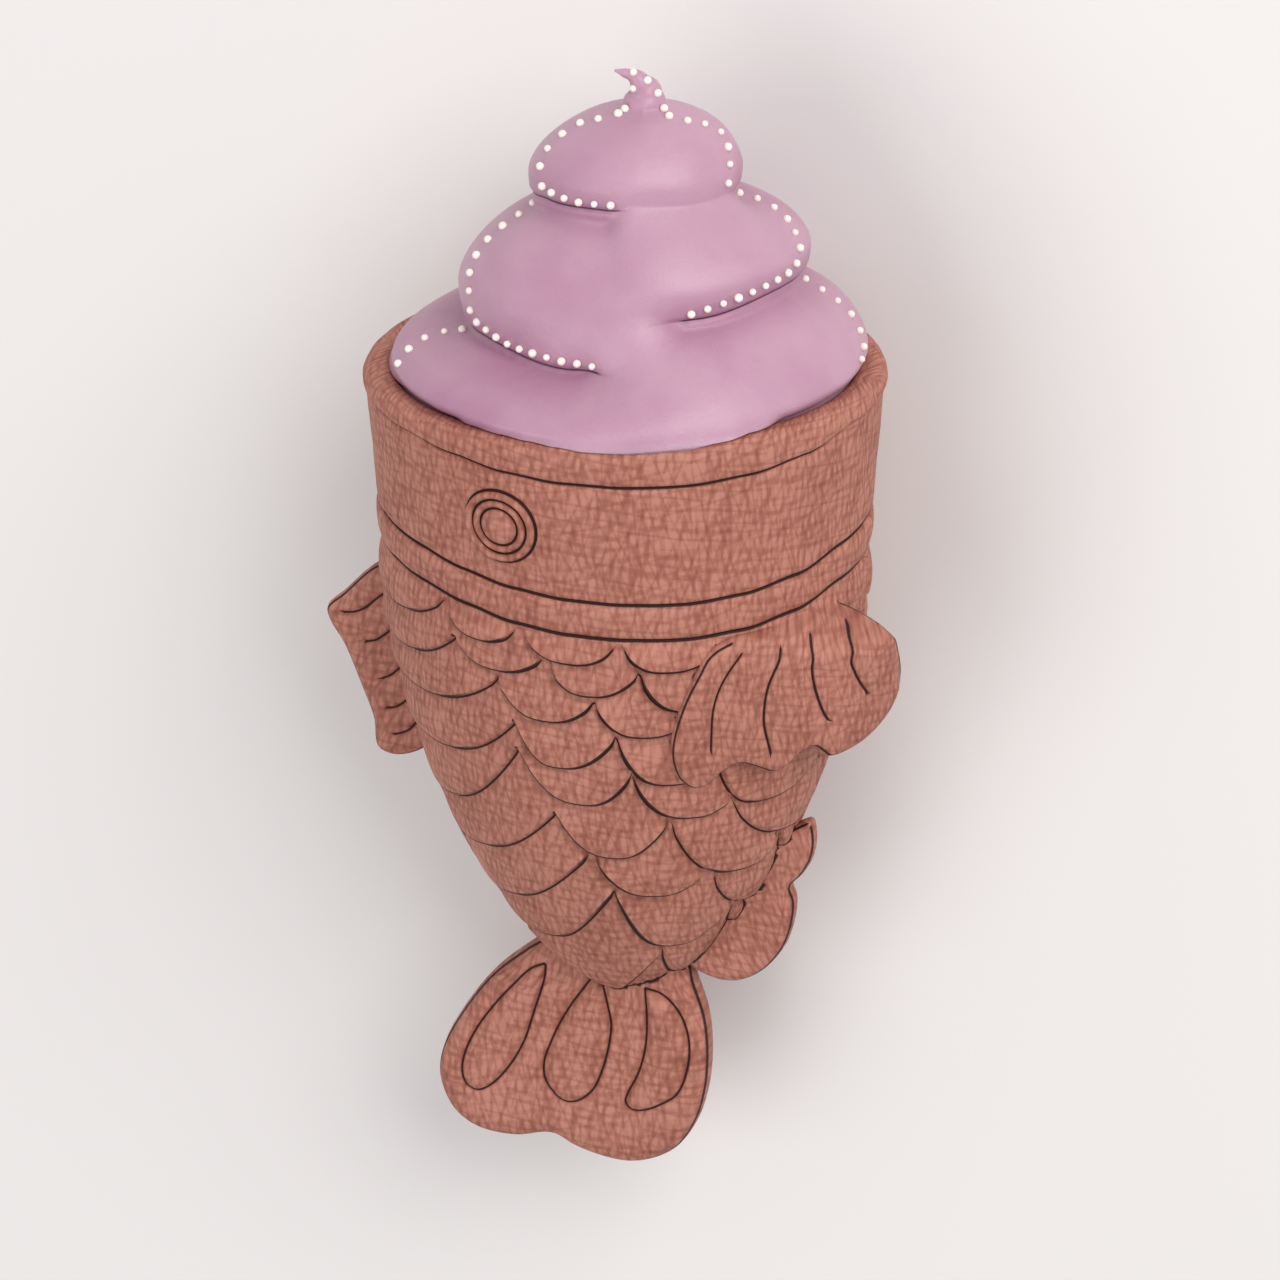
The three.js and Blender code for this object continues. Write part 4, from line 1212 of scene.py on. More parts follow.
    def from_front(self, right: np.ndarray, up: np.ndarray, near: np.ndarray) -> np.ndarray:
        """Turns places seen from the swirl's front into the fish's frame."""
        turn = math.radians(self.facing)
        right, up, near = np.broadcast_arrays(right, up, near)
        to_belly = right * math.cos(turn) + near * math.sin(turn)
        to_flank = near * math.cos(turn) - right * math.sin(turn)
        return np.stack([to_belly, up, to_flank], axis=-1)

    def point(self, azimuth: np.ndarray, height: np.ndarray, lift: np.ndarray | float = 0.0) -> np.ndarray:
        """Points of the swirl's surface.

        Args:
            azimuth: Degrees from its front.
            height: Over the rim.
            lift: How far they stand off it.

        Returns:
            Points in the fish's frame.
        """
        turn = np.radians(azimuth)
        angle = turn + math.radians(self.facing)
        seated = sum(share * np.cos(i * turn) for i, share in enumerate(self.waves))
        oval = 1 / np.hypot(np.sin(turn), np.cos(turn) / self.depth)
        squeeze = mix(seated, oval, smooth(height / self.oval_from))
        radius = self.joined_up(lambda place: self.rope_radius(place, height), azimuth, self.blend) * squeeze
        seat = along(self.seat, azimuth % 360)
        edge = self.body.radius(angle, np.zeros_like(angle)) + seat - self.tiers[0].shift * np.sin(turn)
        narrow = (1 - np.clip((height - self.seat_height(azimuth, seat)) / self.bulge, 0, 1)) ** 2
        radius = mix(radius, edge, narrow) + lift
        shifts = [(tier.middle, tier.shift) for tier in self.tiers] + [(self.crown, self.curl[0][0])]
        return self.from_front(along(shifts, height) + radius * np.sin(turn), height, radius * np.cos(turn))

    def seat_height(self, azimuth: np.ndarray, lift: np.ndarray) -> np.ndarray:
        """Height just over the rim, at places that stand off the plain body by a lift."""
        station, known = np.array(self.body.rim).T
        skewed = self.body.skew * np.sin(np.radians(azimuth + self.facing))
        return np.interp(lift, known[:-1], station[:-1]) + FIT_GAP + self.seat_clear + skewed

    def crease(self, table: Pairs, azimuth: np.ndarray) -> np.ndarray:
        """Height of a crease at an azimuth."""
        return self.joined_up(lambda place: along(table, place), azimuth, self.crease_blend)

    def build(self) -> bpy.types.Object:
        """Builds the swirl and its plug as one closed mesh in the fish's frame."""
        azimuth = np.linspace(0, 360, self.azimuths, endpoint=False)
        angle = np.radians(azimuth + self.facing)
        rings, painted_shades = [], []

        def add(points: np.ndarray, painted_shade: np.ndarray | float = 0.0) -> None:
            """Adds a ring of points with how much painted shade they carry."""
            rings.append(points)
            painted_shades.append(np.broadcast_to(painted_shade, (self.azimuths,)))

        for station, lift in self.body.hollow:
            add(self.body.point(angle, station + 2 * FIT_GAP, lift - FIT_GAP))
        inner = self.body.hollow[-1][1] - FIT_GAP
        seat = along(self.seat, azimuth)
        for share in self.seat_rings:
            lift = mix(inner, seat, share)
            under = self.body.point(angle, np.zeros_like(angle), lift)
            under[:, 1] = self.seat_height(azimuth, lift) - self.seat_clear * (1 - share)
            add(under)
        low = self.crease(self.lower_crease, azimuth)
        high = self.crease(self.upper_crease, azimuth)
        turned = azimuth % 360
        low_fade, high_fade = self.fades(turned)
        start = self.seat_height(azimuth, seat)
        crown = np.full_like(azimuth, self.crown)
        off = np.abs((azimuth + 180) % 360 - 180)
        low_line = smooth((off - np.where(azimuth < 180, *self.low_line_from)) / self.low_line_over)
        high_line = smooth((off - self.high_line_from) / self.high_line_over)
        high_line = high_line * (1 - high_fade * (azimuth < 180))
        left_shade = smooth((off - self.shade_from) / self.shade_over) * (azimuth > 180)
        for bottom, top, count in zip((start, low, high), (low, high, crown), self.tier_rings):
            even = np.linspace(0, 1, count + 1)[1:]
            for share in mix(even, (1 - np.cos(math.pi * even)) / 2, self.ring_crowding):
                height = mix(bottom, top, share)
                from_low, from_high = height - low, height - high
                near_low = (1 - low_fade) * np.exp(-((from_low / self.crease_width) ** 2))
                near_high = (1 - high_fade) * np.exp(-((from_high / self.crease_width) ** 2))
                soft_low = (1 - low_fade) * np.exp(-((from_low / self.shadow_width) ** 2))
                soft_high = (1 - high_fade) * np.exp(-((from_high / self.shadow_width) ** 2))
                # Painted shade for the crease value: darker at a crease, a painted soft shadow about it,
                # painted shade low at the left, and a thin painted line of shade along the crease.
                near = np.maximum(near_low, near_high)
                shadow = np.maximum(soft_low, soft_high) * self.shadow_tint
                painted_shade = np.maximum(shadow, near * self.crease_painted_shade)
                low_shade = 1 - smooth((height - self.shade_height) / self.shade_fall)
                painted_shade = np.maximum(painted_shade, self.shade_tint * (left_shade * low_shade))
                lines = low_line * drawn_line(np.abs(from_low)), high_line * drawn_line(np.abs(from_high))
                plain = self.point(azimuth, height)
                lift = self.bumps.at(plain) - self.crease_cut * near - self.skin_sunk
                lift = lift * smooth((height - start) / self.smooth_seat)
                lift = lift * smooth((self.crown - height) / self.smooth_crown)
                add(self.point(azimuth, height, lift), np.maximum(painted_shade, np.maximum(*lines)))
        first_curl = len(rings)
        for share in np.linspace(*self.curl_span, self.curl_rings):
            add(self.curl_ring(azimuth, share))
        points = np.array(rings)
        first, past = first_curl - self.melt_rings, first_curl + self.melt_rings
        for _ in range(self.melt_passes):
            between = (points[first - 1:past - 1] + points[first + 1:past + 1]) / 2
            points[first:past] = mix(points[first:past], between, self.melt_share)
        shell = Shell.of_rings(points, {"crease": np.array(painted_shades)})
        made = shell.to_object("ice_cream")
        made.data.shade_smooth()
        return made

    def curl_ring(self, azimuth: np.ndarray, share: float) -> np.ndarray:
        """A ring of the curl, square to its spine, at a share of its length."""
        spine = curve_through([(right, up) for right, up, _ in self.curl], self.curl_step, False)
        at = share * (len(spine) - 1)
        centre = np.array([np.interp(at, np.arange(len(spine)), spine[:, axis]) for axis in (0, 1)])
        step = np.gradient(spine, axis=0)[int(round(at))]
        lean = step / np.linalg.norm(step)
        radii = [(i / (len(self.curl) - 1), radius) for i, (_, _, radius) in enumerate(self.curl)]
        size = along(radii, share)
        side, near = size * np.sin(np.radians(azimuth)), size * np.cos(np.radians(azimuth))
        return self.from_front(centre[0] + side * lean[1], centre[1] - side * lean[0], near)


# ---- Sugar pearls ----


@dataclass
class SugarPearls:
    """Garlands of sugar pearls, strung on lines over the cream by Geometry Nodes."""

    cream: SoftServe
    radius: float = 0.66
    spacing: float = 2.9  # along the garlands
    row_spacing: float = 2.5  # along the rows and at the tip
    sunk: float = 0.15  # how far their middles stand off the cream
    variation: float = 0.14  # of their size, as a share
    front: tuple[float, float] = (0.41, 0.91)  # up and near, of the direction that the front faces
    facing_back: float = -0.45  # the most that a pearl on the back may face the front
    seed: int = 7
    step: float = 0.4  # between the points of a line
    tip_points: int = 40
    least_points: int = 4  # a shorter line carries no pearls
    # Each line by azimuth and height over the rim, first on the front and then the like on the back.
    garlands: Sequence[Pairs] = (
        ((44, 43.3), (58, 42.6), (72, 41.6), (78, 40), (71, 38.2), (65, 36.2), (61, 33.6)),
        ((-52, 43.4), (-67, 42.4), (-77, 41.2), (-77, 39.4), (-74, 37.6), (-68, 35.6), (-62, 33)),
        ((85, 29.2), (87, 27.8), (85, 26.6), (82, 25.6), (76, 24), (71, 22.2), (67, 21)),
        (
            (-84, 27.8), (-84, 25.4), (-82, 23.8), (-81, 22), (-78, 19.8), (-74, 17.6), (-70, 15.6),
            (-69, 12.6),
        ),
        ((86, 14.6), (85, 13), (85, 11.4), (85, 9.8), (83, 8), (80, 5.8), (74, 4.3)),
        ((-78, 2.4), (-82, 4.2), (-84, 5.4), (-83, 6.3), (-80, 7)),
    )
    rows: Sequence[Pairs] = (
        ((62, 20.2), (49, 19.5), (42, 19.1), (35, 18.6), (29, 18.1), (21, 17.3)),
        ((-65, 11.2), (-55, 10.4), (-49, 9.9), (-41, 9.7), (-34, 9.6), (-27, 9.3), (-14, 9.2)),
        ((-54, 32.6), (-43, 32.3), (-34, 32.2), (-26, 32.3), (-15, 32.4)),
    )
    # On the curl: the azimuth, and the shares of its spine where the line begins and ends.
    tips: Sequence[tuple[float, float, float]] = ((-50.0, 0.02, 0.46), (50.0, 0.02, 0.66))

    def line(self, path: Pairs, turned: float) -> np.ndarray:
        """A line over the cream.

        Args:
            path: Azimuths and heights on the front.
            turned: Degrees to turn it by; its heights keep their shares between the creases.

        Returns:
            Points where the pearls' middles lie; on the back, those alone that face the back.
        """
        azimuth, height = curve_through(np.array(path), self.step, False).T
        cream = self.cream

        def levels(place: np.ndarray) -> np.ndarray:
            """Heights of the rim, the creases and the crown at azimuths."""
            low, high = cream.crease(cream.lower_crease, place), cream.crease(cream.upper_crease, place)
            return np.stack([np.zeros_like(low), low, high, np.full_like(low, cream.crown)], axis=1)

        if turned:
            pairs = zip(height, levels(azimuth), levels(azimuth + turned))
            height = np.array([np.interp(each, here, there) for each, here, there in pairs])
            azimuth = azimuth + turned
        round_it = cream.point(azimuth + 0.5, height) - cream.point(azimuth - 0.5, height)
        upwards = cream.point(azimuth, height + 0.1) - cream.point(azimuth, height - 0.1)
        outward = np.cross(round_it, upwards)
        outward /= np.linalg.norm(outward, axis=1)[:, None]
        points = cream.point(azimuth, height) + outward * self.sunk
        if turned:
            up, near = self.front
            front = cream.from_front(np.array(0.0), np.array(up), np.array(near))
            points = points[outward @ front < self.facing_back]
        return points

    def lines(self) -> list[tuple[np.ndarray, float]]:
        """Lines over the cream that carry the pearls, each with its spacing."""
        found = []
        for paths, spacing in ((self.garlands, self.spacing), (self.rows, self.row_spacing)):
            found += [(self.line(path, turned), spacing) for path in paths for turned in (0, 180)]
        for azimuth, start, end in self.tips:
            shares = np.linspace(start, end, self.tip_points)
            tip = [self.cream.curl_ring(np.array([azimuth]), share)[0] for share in shares]
            found.append((np.array(tip), self.row_spacing))
        return [(path, spacing) for path, spacing in found if len(path) >= self.least_points]

    def tree(self, pearl: bpy.types.Material) -> bpy.types.NodeTree:
        """Builds the node tree that strings pearls along the edges of a mesh.

        Args:
            pearl: Their material.

        Returns:
            The tree, with its sizes as named inputs.
        """
        tree = bpy.data.node_groups.new("string of pearls", "GeometryNodeTree")
        panel = tree.interface
        panel.new_socket("Lines", in_out="INPUT", socket_type="NodeSocketGeometry")
        for name in ("Spacing", "Radius", "Variation"):
            panel.new_socket(name, in_out="INPUT", socket_type="NodeSocketFloat")
        panel.new_socket("Seed", in_out="INPUT", socket_type="NodeSocketInt")
        panel.new_socket("Pearls", in_out="OUTPUT", socket_type="NodeSocketGeometry")
        make, join = tree.nodes.new, tree.links.new
        given, result = make("NodeGroupInput"), make("NodeGroupOutput")
        curve = make("GeometryNodeMeshToCurve")
        even = make("GeometryNodeResampleCurve")
        even.mode = "LENGTH"
        ball = make("GeometryNodeMeshIcoSphere")
        ball.inputs["Subdivisions"].default_value = 2
        size = make("FunctionNodeRandomValue")
        size.data_type = "FLOAT"
        low, high = make("ShaderNodeMath"), make("ShaderNodeMath")
        low.operation, high.operation = "SUBTRACT", "ADD"
        spread = make("GeometryNodeInstanceOnPoints")
        real = make("GeometryNodeRealizeInstances")
        round_off = make("GeometryNodeSetShadeSmooth")
        dress = make("GeometryNodeSetMaterial")
        dress.inputs["Material"].default_value = pearl
        join(given.outputs["Lines"], curve.inputs["Mesh"])
        join(curve.outputs["Curve"], even.inputs["Curve"])
        join(given.outputs["Spacing"], even.inputs["Length"])
        join(given.outputs["Radius"], ball.inputs["Radius"])
        for node, number in ((low, 1.0), (high, 1.0)):
            node.inputs[0].default_value = number
            join(given.outputs["Variation"], node.inputs[1])
        join(low.outputs[0], size.inputs[2])
        join(high.outputs[0], size.inputs[3])
        join(given.outputs["Seed"], size.inputs["Seed"])
        join(even.outputs["Curve"], spread.inputs["Points"])
        join(ball.outputs["Mesh"], spread.inputs["Instance"])
        join(size.outputs[1], spread.inputs["Scale"])
        join(spread.outputs["Instances"], round_off.inputs["Geometry"])
        join(round_off.outputs["Geometry"], real.inputs["Geometry"])
        join(real.outputs["Geometry"], dress.inputs["Geometry"])
        join(dress.outputs["Geometry"], result.inputs["Pearls"])
        return tree

    def build(self, pearl: bpy.types.Material, laid: LaidDown) -> bpy.types.Object:
        """Strings the pearls and makes them one plain mesh in the world.

        Args:
            pearl: Their material.
            laid: How the fish lies.

        Returns:
            The pearls.
        """
        tree = self.tree(pearl)
        strung = []
        for spacing in (self.spacing, self.row_spacing):
            paths = [laid.points(path) for path, gap in self.lines() if gap == spacing]
            edges, start = [], 0
            for path in paths:
                edges += [(i, i + 1) for i in range(start, start + len(path) - 1)]
                start += len(path)
            mesh = bpy.data.meshes.new("pearl_lines")
            mesh.from_pydata(np.vstack(paths).tolist(), edges, [])
            line = bpy.data.objects.new("pearl_lines", mesh)
            bpy.context.scene.collection.objects.link(line)
            string = line.modifiers.new("pearls", "NODES")
            string.node_group = tree
            sizes = {
                "Spacing": spacing * MM, "Radius": self.radius * MM, "Variation": self.variation,
                "Seed": self.seed,
            }
            for item in tree.interface.items_tree:
                if item.in_out == "INPUT" and item.name in sizes:
                    string[item.identifier] = sizes[item.name]
            graph = bpy.context.evaluated_depsgraph_get()
            strung.append(bpy.data.meshes.new_from_object(line.evaluated_get(graph)))
            discard(line)
        bm = bmesh.new()
        for mesh in strung:
            bm.from_mesh(mesh)
        together = bpy.data.meshes.new("sugar_pearls")
        bm.to_mesh(together)
        bm.free()
        together.materials.append(pearl)
        together.shade_smooth()
        made = bpy.data.objects.new("sugar_pearls", together)
        bpy.context.scene.collection.objects.link(made)
        for mesh in strung:
            bpy.data.meshes.remove(mesh)
        return made


# ---- Finishes ----


def linear(red: int, green: int, blue: int) -> tuple[float, float, float, float]:
    """A colour given in screen steps of 0 to 255 as the linear colour that shaders take."""
    def channel(step: int) -> float:
        """One channel as light."""
        value = step / 255
        return value / 12.92 if value <= 0.04045 else ((value + 0.055) / 1.055) ** 2.4
    return channel(red), channel(green), channel(blue), 1.0


class Hatch(Enum):
    """Strokes that cross on the crust: turn in degrees, gap between them in millimetres, and strength."""

    ALONG = (3, 1.45, 0.21)
    LEANING = (-11, 1.75, 0.2)
    RISING = (21, 1.6, 0.2)
    FALLING = (-27, 1.9, 0.19)
    ROUND = (82, 1.75, 0.2)
    CLIMBING = (103, 2.0, 0.17)


class Value:
    """A shader socket that takes part in arithmetic: an expression adds its Math nodes."""

    def __init__(self, sheet: Sheet, socket: bpy.types.NodeSocket) -> None:
        """Wraps a socket of a sheet."""
        self.sheet = sheet
        self.socket = socket

    def math(self, operation: str, *others: Value | float) -> Value:
        """Adds a Math node that works on this value and others."""
        return self.sheet.node("ShaderNodeMath", {"operation": operation}, {
            i: other for i, other in enumerate((self, *others))})

    def __add__(self, other: Value | float) -> Value:
        """Sum."""
        return self.math("ADD", other)

    def __radd__(self, other: float) -> Value:
        """Sum, with a number first."""
        return self.math("ADD", other)

    def __sub__(self, other: Value | float) -> Value:
        """Difference."""
        return self.math("SUBTRACT", other)

    def __rsub__(self, other: float) -> Value:
        """Difference from a number."""
        return self.math("MULTIPLY_ADD", -1.0, other)

    def __mul__(self, other: Value | float) -> Value:
        """Product."""
        return self.math("MULTIPLY", other)

    def __rmul__(self, other: float) -> Value:
        """Product, with a number first."""
        return self.math("MULTIPLY", other)

    def between(self, low: float, high: float) -> Value:
        """Eases from 0 at low to 1 at high."""
        return self.sheet.node("ShaderNodeMapRange", {"interpolation_type": "SMOOTHSTEP"}, {
            "Value": self, "From Min": low, "From Max": high})


class Sheet:
    """A material's node tree, written down as expressions."""

    def __init__(self, name: str) -> None:
        """Starts a material with a Principled shader."""
        self.material = bpy.data.materials.new(name)
        self.material.use_nodes = True
        self.tree = self.material.node_tree
        self.shader = next(n for n in self.tree.nodes if n.type == "BSDF_PRINCIPLED")

    def feed(self, socket: bpy.types.NodeSocket, value: Value | float | Sequence[float]) -> None:
        """Links a value to a socket, or sets the socket to a plain one."""
        if isinstance(value, Value):
            self.tree.links.new(value.socket, socket)
        else:
            socket.default_value = value

    def node(
        self, kind: str, settings: dict[str, object], sockets: dict[int | str, object],
        output: int | str = 0,
    ) -> Value:
        """Adds a node.

        Args:
            kind: Its type.
            settings: Its properties, set first. "stops" gives a ramp's places and colours.
            sockets: Values or links of its inputs, by number or name.
            output: Which output is returned.

        Returns:
            The output, ready for arithmetic.
        """
        made = self.tree.nodes.new(kind)
        for name, setting in settings.items():
            if name == "stops":
                known = made.color_ramp.elements
                for stop, (place, colour) in enumerate(setting):
                    item = known[stop] if stop < 2 else known.new(place)
                    item.position, item.color = place, colour
            else:
                setattr(made, name, setting)
        for key, value in sockets.items():
            self.feed(made.inputs[key], value)
        return Value(self, made.outputs[output])

    def mark(self, name: str) -> Value:
        """Reads one of the mesh's own values."""
        return self.node("ShaderNodeAttribute", {"attribute_name": name}, {}, "Fac")

    def place(self) -> Value:
        """The place on the object, in millimetres."""
        where = self.node("ShaderNodeTexCoord", {}, {}, "Object")
        return self.node("ShaderNodeVectorMath", {"operation": "SCALE"}, {0: where, "Scale": 1 / MM})

    def strokes(self, where: Value, hatch: Hatch) -> Value:
        """Nearly straight strokes of a hatch, six times as long as wide, which fade in and out."""
        turn, gap, strength = hatch.value
        lain = self.node("ShaderNodeMapping", {"vector_type": "TEXTURE"}, {
            "Vector": where, "Rotation": (0, 0, math.radians(turn)), "Scale": (1, 6, 1),
        })
        bands = self.node("ShaderNodeTexWave", {}, {
            "Vector": lain, "Scale": math.pi / 10 / gap,
            "Distortion": 5.0, "Detail": 1.0, "Detail Scale": 2.2,
        }, "Fac")
        shown = self.noise(lain, 0.8 * gap, 0.0).between(0.3, 0.58)
        return strength * bands.between(0.3, 1.0) * shown

    def noise(self, where: Value, size: float, detail: float = 2.0, rough: float = 0.5) -> Value:
        """Soft noise with bumps of a size in millimetres."""
        return self.node("ShaderNodeTexNoise", {}, {
            "Vector": where, "Scale": 1 / size, "Detail": detail, "Roughness": rough,
        })

    def blend(self, share: Value | float, low: object, high: object) -> Value:
        """Mixes two colours."""
        return self.node("ShaderNodeMix", {"data_type": "RGBA"}, {0: share, 6: low, 7: high}, 2)

    def bump(self, height: Value, strength: float, depth: float) -> None:
        """Raises the surface by a height of at most a depth in millimetres."""
        self.feed(self.shader.inputs["Normal"], self.node("ShaderNodeBump", {}, {
            "Height": height, "Strength": strength, "Distance": depth * MM,
        }, "Normal"))


@dataclass(frozen=True)
class CrustFinish:
    """Baked waffle crust: small pale cells between crossing darker lines, with painted shade darkening its
    grooves.
    """

    dark: tuple[int, int, int] = (127, 70, 56)
    middle: tuple[int, int, int] = (164, 103, 86)
    light: tuple[int, int, int] = (190, 129, 111)
    # near-black painted shade along grooves, under scale edges and at joints
    painted_groove_shade: tuple[int, int, int] = (44, 21, 16)
    patch_size: float = 13.0
    patch_share: float = 0.13  # of the brightness
    grain_size: float = 0.42
    grain_share: float = 0.14
    shade_towards_groove: float = 0.35  # how far painted shade darkens the crust towards a groove
    relief: float = 0.2  # depth of its strokes and grain

    def material(self) -> bpy.types.Material:
        """Builds the material."""
        sheet = Sheet("baked waffle crust")
        where = sheet.node("ShaderNodeAttribute", {"attribute_name": "unrolled"}, {}, "Vector")
        bare = 1.0
        for hatch in Hatch:
            bare = bare * (1 - sheet.strokes(where, hatch))
        patches = sheet.noise(where, self.patch_size, 2.0).between(0.3, 0.72)
        grain = sheet.noise(where, self.grain_size, 2.0, 0.6)
        crust = bare + self.patch_share * (patches - 0.5) + self.grain_share * (grain - 0.5)
        # A ramp starts with two stops, its ends, and the one between them comes last.
        stops = ((0.25, linear(*self.dark)), (0.98, linear(*self.light)), (0.66, linear(*self.middle)))
        colour = sheet.node("ShaderNodeValToRGB", {"stops": stops}, {0: crust}, "Color")
        # Painted shade: the crust darkens towards the dark tone near a groove, and a near-black painted line
        # of shade lies along it.
        groove = sheet.mark("groove")
        colour = sheet.blend(groove.between(0.0, 0.9) * self.shade_towards_groove, colour, linear(*self.dark))
        line = (groove + 0.2 * (grain - 0.5)).between(0.3, 0.7)
        colour = sheet.blend(line, colour, linear(*self.painted_groove_shade))
        sheet.feed(sheet.shader.inputs["Base Color"], colour)
        sheet.feed(sheet.shader.inputs["Roughness"], 0.6 + 0.22 * grain - 0.06 * bare)
        sheet.shader.inputs["Specular IOR Level"].default_value = 0.3
        sheet.bump(0.7 * bare + 0.3 * grain, 0.5, self.relief)
        return sheet.material


@dataclass(frozen=True)
class CreamFinish:
    """Pink soft serve: satin, with painted shade deeper in its creases and a painted dark line of shade
    along them.
    """

    light: tuple[int, int, int] = (194, 151, 171)
    # deep is the cream's deeper tone for its clouds and for painted shade; crease and line are painted shade
    # in the creases
    deep: tuple[int, int, int] = (166, 112, 140)
    crease: tuple[int, int, int] = (112, 60, 88)
    line: tuple[int, int, int] = (52, 28, 40)
    cloud_size: float = 14.0
    cloud_share: float = 0.35  # how far its soft clouds go to the deep tone
    ice_size: float = 0.5
    fold_size: float = 4.0
    relief: float = 0.5  # depth of its ice grain and folds
    glow: float = 0.25  # share of light that spreads under the surface
    glow_reach: float = 2.0

    def material(self) -> bpy.types.Material:
        """Builds the material."""
        sheet = Sheet("pink soft serve")
        where = sheet.place()
        clouds = sheet.noise(where, self.cloud_size, 2.5, 0.55).between(0.38, 0.75)
        # The crease value is painted shade: towards the deep tone about the creases and low at the left,
        # then darker at a crease and a dark painted line of shade along it.
        crease = sheet.mark("crease")
        colour = sheet.blend(clouds * self.cloud_share, linear(*self.light), linear(*self.deep))
        colour = sheet.blend(crease.between(0.0, 0.6) * 0.6, colour, linear(*self.deep))
        colour = sheet.blend(crease.between(0.6, 0.85) * 0.7, colour, linear(*self.crease))
        colour = sheet.blend(crease.between(0.84, 0.97), colour, linear(*self.line))
        sheet.feed(sheet.shader.inputs["Base Color"], colour)
        ice = sheet.noise(where, self.ice_size, 2.0, 0.55)
        folds = sheet.noise(where, self.fold_size, 1.0)
        sheet.feed(sheet.shader.inputs["Roughness"], 0.34 + 0.16 * ice)
        sheet.shader.inputs["Subsurface Weight"].default_value = self.glow
        sheet.shader.inputs["Subsurface Radius"].default_value = (1.0, 0.6, 0.7)
        sheet.shader.inputs["Subsurface Scale"].default_value = self.glow_reach * MM
        sheet.bump(ice * 0.35 + folds * 0.65, 0.35, self.relief)
        return sheet.material


@dataclass(frozen=True)
class PearlFinish:
    """Sugar pearls: creamy white with a soft shine."""

    colour: tuple[int, int, int] = (252, 243, 232)
    frosted: tuple[int, int, int] = (236, 222, 208)
    frost_size: float = 0.3
    relief: float = 0.05

    def material(self) -> bpy.types.Material:
        """Builds the material."""
        sheet = Sheet("sugar pearl")
        frost = sheet.noise(sheet.place(), self.frost_size, 2.0)
        shade = sheet.blend(frost.between(0.3, 0.8) * 0.4, linear(*self.colour), linear(*self.frosted))
        sheet.feed(sheet.shader.inputs["Base Color"], shade)
        sheet.feed(sheet.shader.inputs["Roughness"], 0.22 + 0.2 * frost)
        sheet.shader.inputs["Coat Weight"].default_value = 0.3
        sheet.bump(frost, 0.2, self.relief)
        return sheet.material


@dataclass(frozen=True)
class TableFinish:
    """The plain pale floor."""

    colour: tuple[int, int, int] = (233, 229, 226)

    def material(self) -> bpy.types.Material:
        """Builds the material."""
        sheet = Sheet("pale table")
        sheet.shader.inputs["Base Color"].default_value = linear(*self.colour)
        sheet.shader.inputs["Roughness"].default_value = 0.8
        return sheet.material


# ---- Studio ----


@dataclass(frozen=True)
class Lamp:
    """A square soft light, placed in metres from the fish as the camera sees it."""

    name: str
    right: float
    up: float
    back: float  # towards the camera
    size: float  # its side in metres
    power: float  # in watts


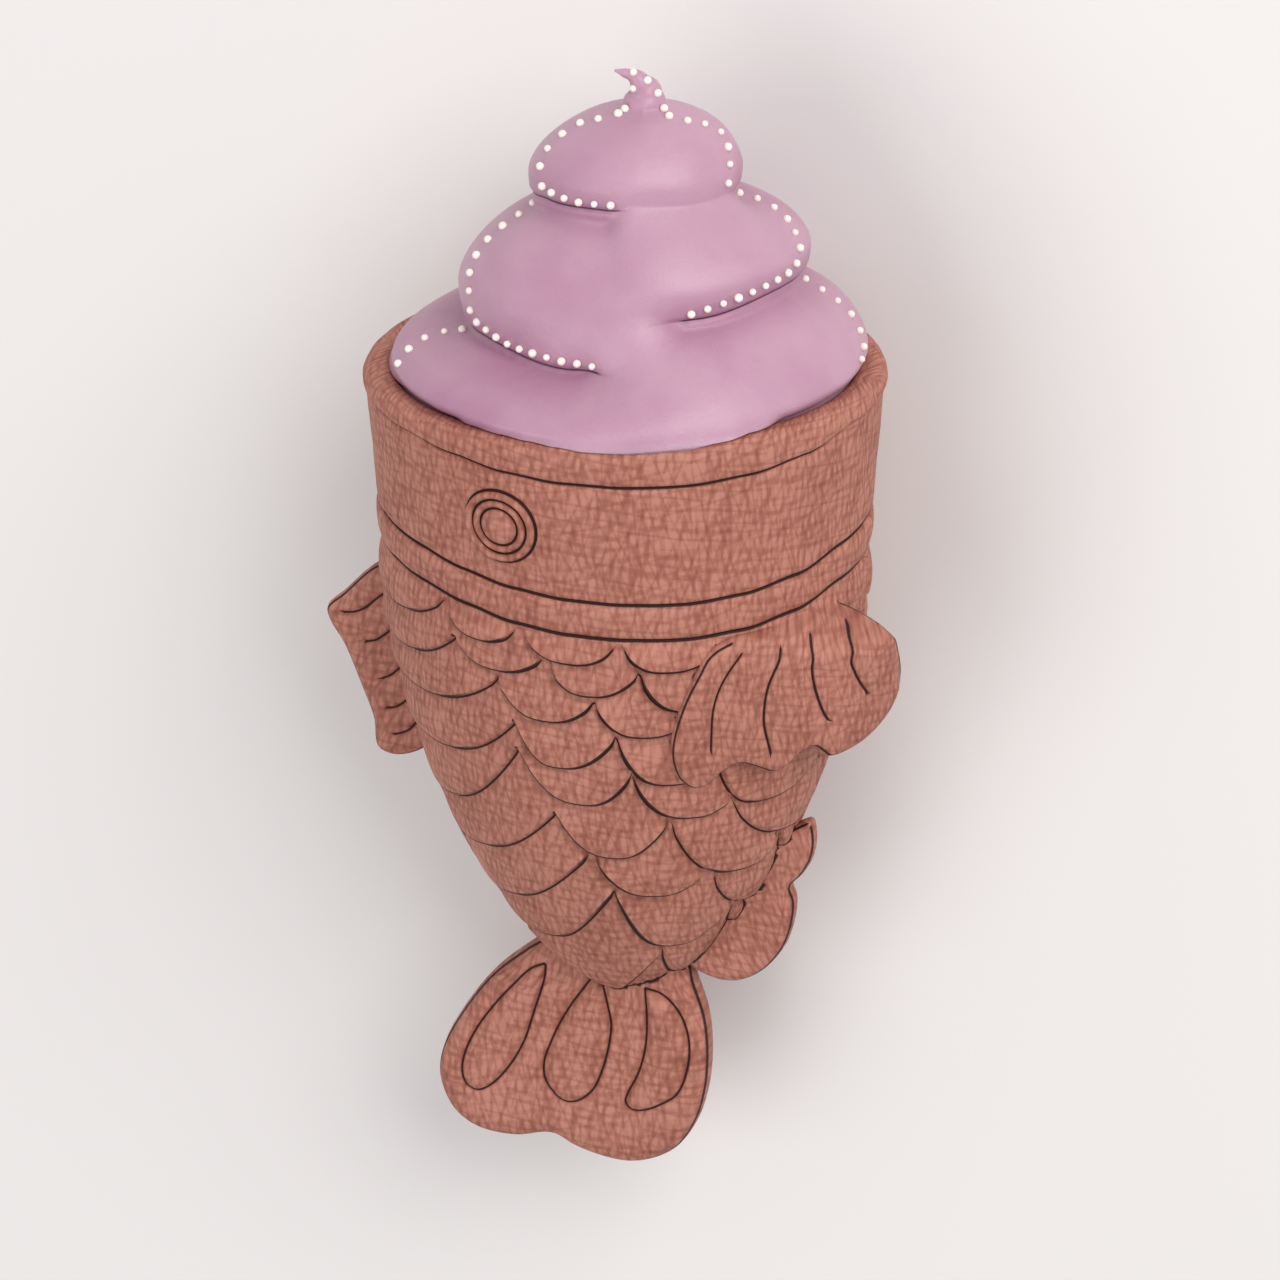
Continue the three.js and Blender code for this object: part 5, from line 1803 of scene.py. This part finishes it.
@dataclass
class Studio:
    """Floor, soft lights and camera."""

    laid: LaidDown
    turn: float = 15.0  # degrees of the camera round the fish's axis, from the upper flank to the belly
    rise: float = 24.5  # degrees of the camera towards the mouth
    lens: float = 200.0
    sensor: float = 36.0  # its width
    distance: float = 1173.3  # from the place it aims at
    aim: tuple[float, float, float] = (2.391, -50.0, -0.641)
    lamps: tuple[Lamp, ...] = (
        Lamp("key", 0.6, 0.4, 1.35, 1.1, 15.9),
        Lamp("fill", -1.2, -0.7, 1.2, 1.4, 12.5),
        Lamp("rim", -0.1, 1.6, 0.3, 0.9, 1.5),
    )
    floor_reach: float = 3.0  # metres from its middle to its sides
    floor_drop: float = 0.00002  # metres under what lies on it
    sky: tuple[int, int, int] = (236, 236, 240)
    sky_strength: float = 0.55

    def view_axes(self) -> tuple[Vector, Vector, Vector]:
        """Right, up and backward directions of the camera in the fish's frame."""
        turn, rise = math.radians(self.turn), math.radians(self.rise)
        right = Vector((math.cos(turn), 0, -math.sin(turn)))
        up = Vector((-math.sin(turn) * math.sin(rise), math.cos(rise), -math.cos(turn) * math.sin(rise)))
        back = Vector((math.cos(rise) * math.sin(turn), math.sin(rise), math.cos(rise) * math.cos(turn)))
        return right, up, back

    def camera(self) -> None:
        """Makes the camera."""
        right, up, back = self.view_axes()
        turned = self.laid.matrix().to_3x3().normalized()
        data = bpy.data.cameras.new("camera")
        data.lens = self.lens
        data.sensor_width = self.sensor
        made = bpy.data.objects.new("camera", data)
        bpy.context.scene.collection.objects.link(made)
        made.location = self.laid.matrix() @ (Vector(self.aim) + self.distance * back)
        axes = Matrix((turned @ right, turned @ up, turned @ back)).transposed()
        made.rotation_mode = "QUATERNION"
        made.rotation_quaternion = axes.to_quaternion()
        bpy.context.scene.camera = made

    def light(self, lamp: Lamp) -> None:
        """Makes a lamp that faces the fish."""
        right, up, back = self.view_axes()
        matrix = self.laid.matrix()
        turned = matrix.to_3x3().normalized()
        middle = matrix @ Vector(self.aim)
        data = bpy.data.lights.new(lamp.name, "AREA")
        data.size = lamp.size
        data.energy = lamp.power
        made = bpy.data.objects.new(lamp.name, data)
        bpy.context.scene.collection.objects.link(made)
        offset = turned @ (lamp.right * right + lamp.up * up + lamp.back * back)
        made.location = middle + offset
        made.rotation_mode = "QUATERNION"
        made.rotation_quaternion = offset.to_track_quat("Z", "Y")

    def build(self) -> None:
        """Makes the floor, the lights, the sky and the camera."""
        mesh = bpy.data.meshes.new("floor")
        sides = ((-1, -1), (1, -1), (1, 1), (-1, 1))
        places = [(x * self.floor_reach, y * self.floor_reach, -self.floor_drop) for x, y in sides]
        mesh.from_pydata(places, [], [(0, 1, 2, 3)])
        mesh.materials.append(TableFinish().material())
        floor = bpy.data.objects.new("floor", mesh)
        bpy.context.scene.collection.objects.link(floor)
        floor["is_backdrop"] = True
        for lamp in self.lamps:
            self.light(lamp)
        world = bpy.data.worlds.new("studio")
        world.use_nodes = True
        background = world.node_tree.nodes["Background"]
        background.inputs["Color"].default_value = linear(*self.sky)
        background.inputs["Strength"].default_value = self.sky_strength
        bpy.context.scene.world = world
        bpy.context.scene.view_settings.view_transform = "Standard"
        self.camera()


# ---- The whole ----


def main() -> None:
    """Builds every piece in order."""
    logging.basicConfig(level=logging.INFO, format="%(name)s: %(message)s")
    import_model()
    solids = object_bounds()
    laid = LaidDown()
    Studio(laid).build()

    fish = WaffleFish()
    waffle = fish.build()
    laid.put(waffle, solids)
    waffle.data.materials.clear()
    waffle.data.materials.append(CrustFinish().material())
    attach(waffle, "root")
    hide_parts("waffle_fish")
    log.info("waffle: %d faces", len(waffle.data.polygons))

    cream = SoftServe(fish.body)
    ice_cream = cream.build()
    laid.put(ice_cream, solids)
    ice_cream.data.materials.append(CreamFinish().material())
    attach(ice_cream, "root")
    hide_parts("soft_serve")
    log.info("ice cream: %d faces", len(ice_cream.data.polygons))

    pearls = SugarPearls(cream).build(PearlFinish().material(), laid)
    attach(pearls, "root")
    log.info("pearls: %d faces", len(pearls.data.polygons))


if __name__ == "__main__":
    main()
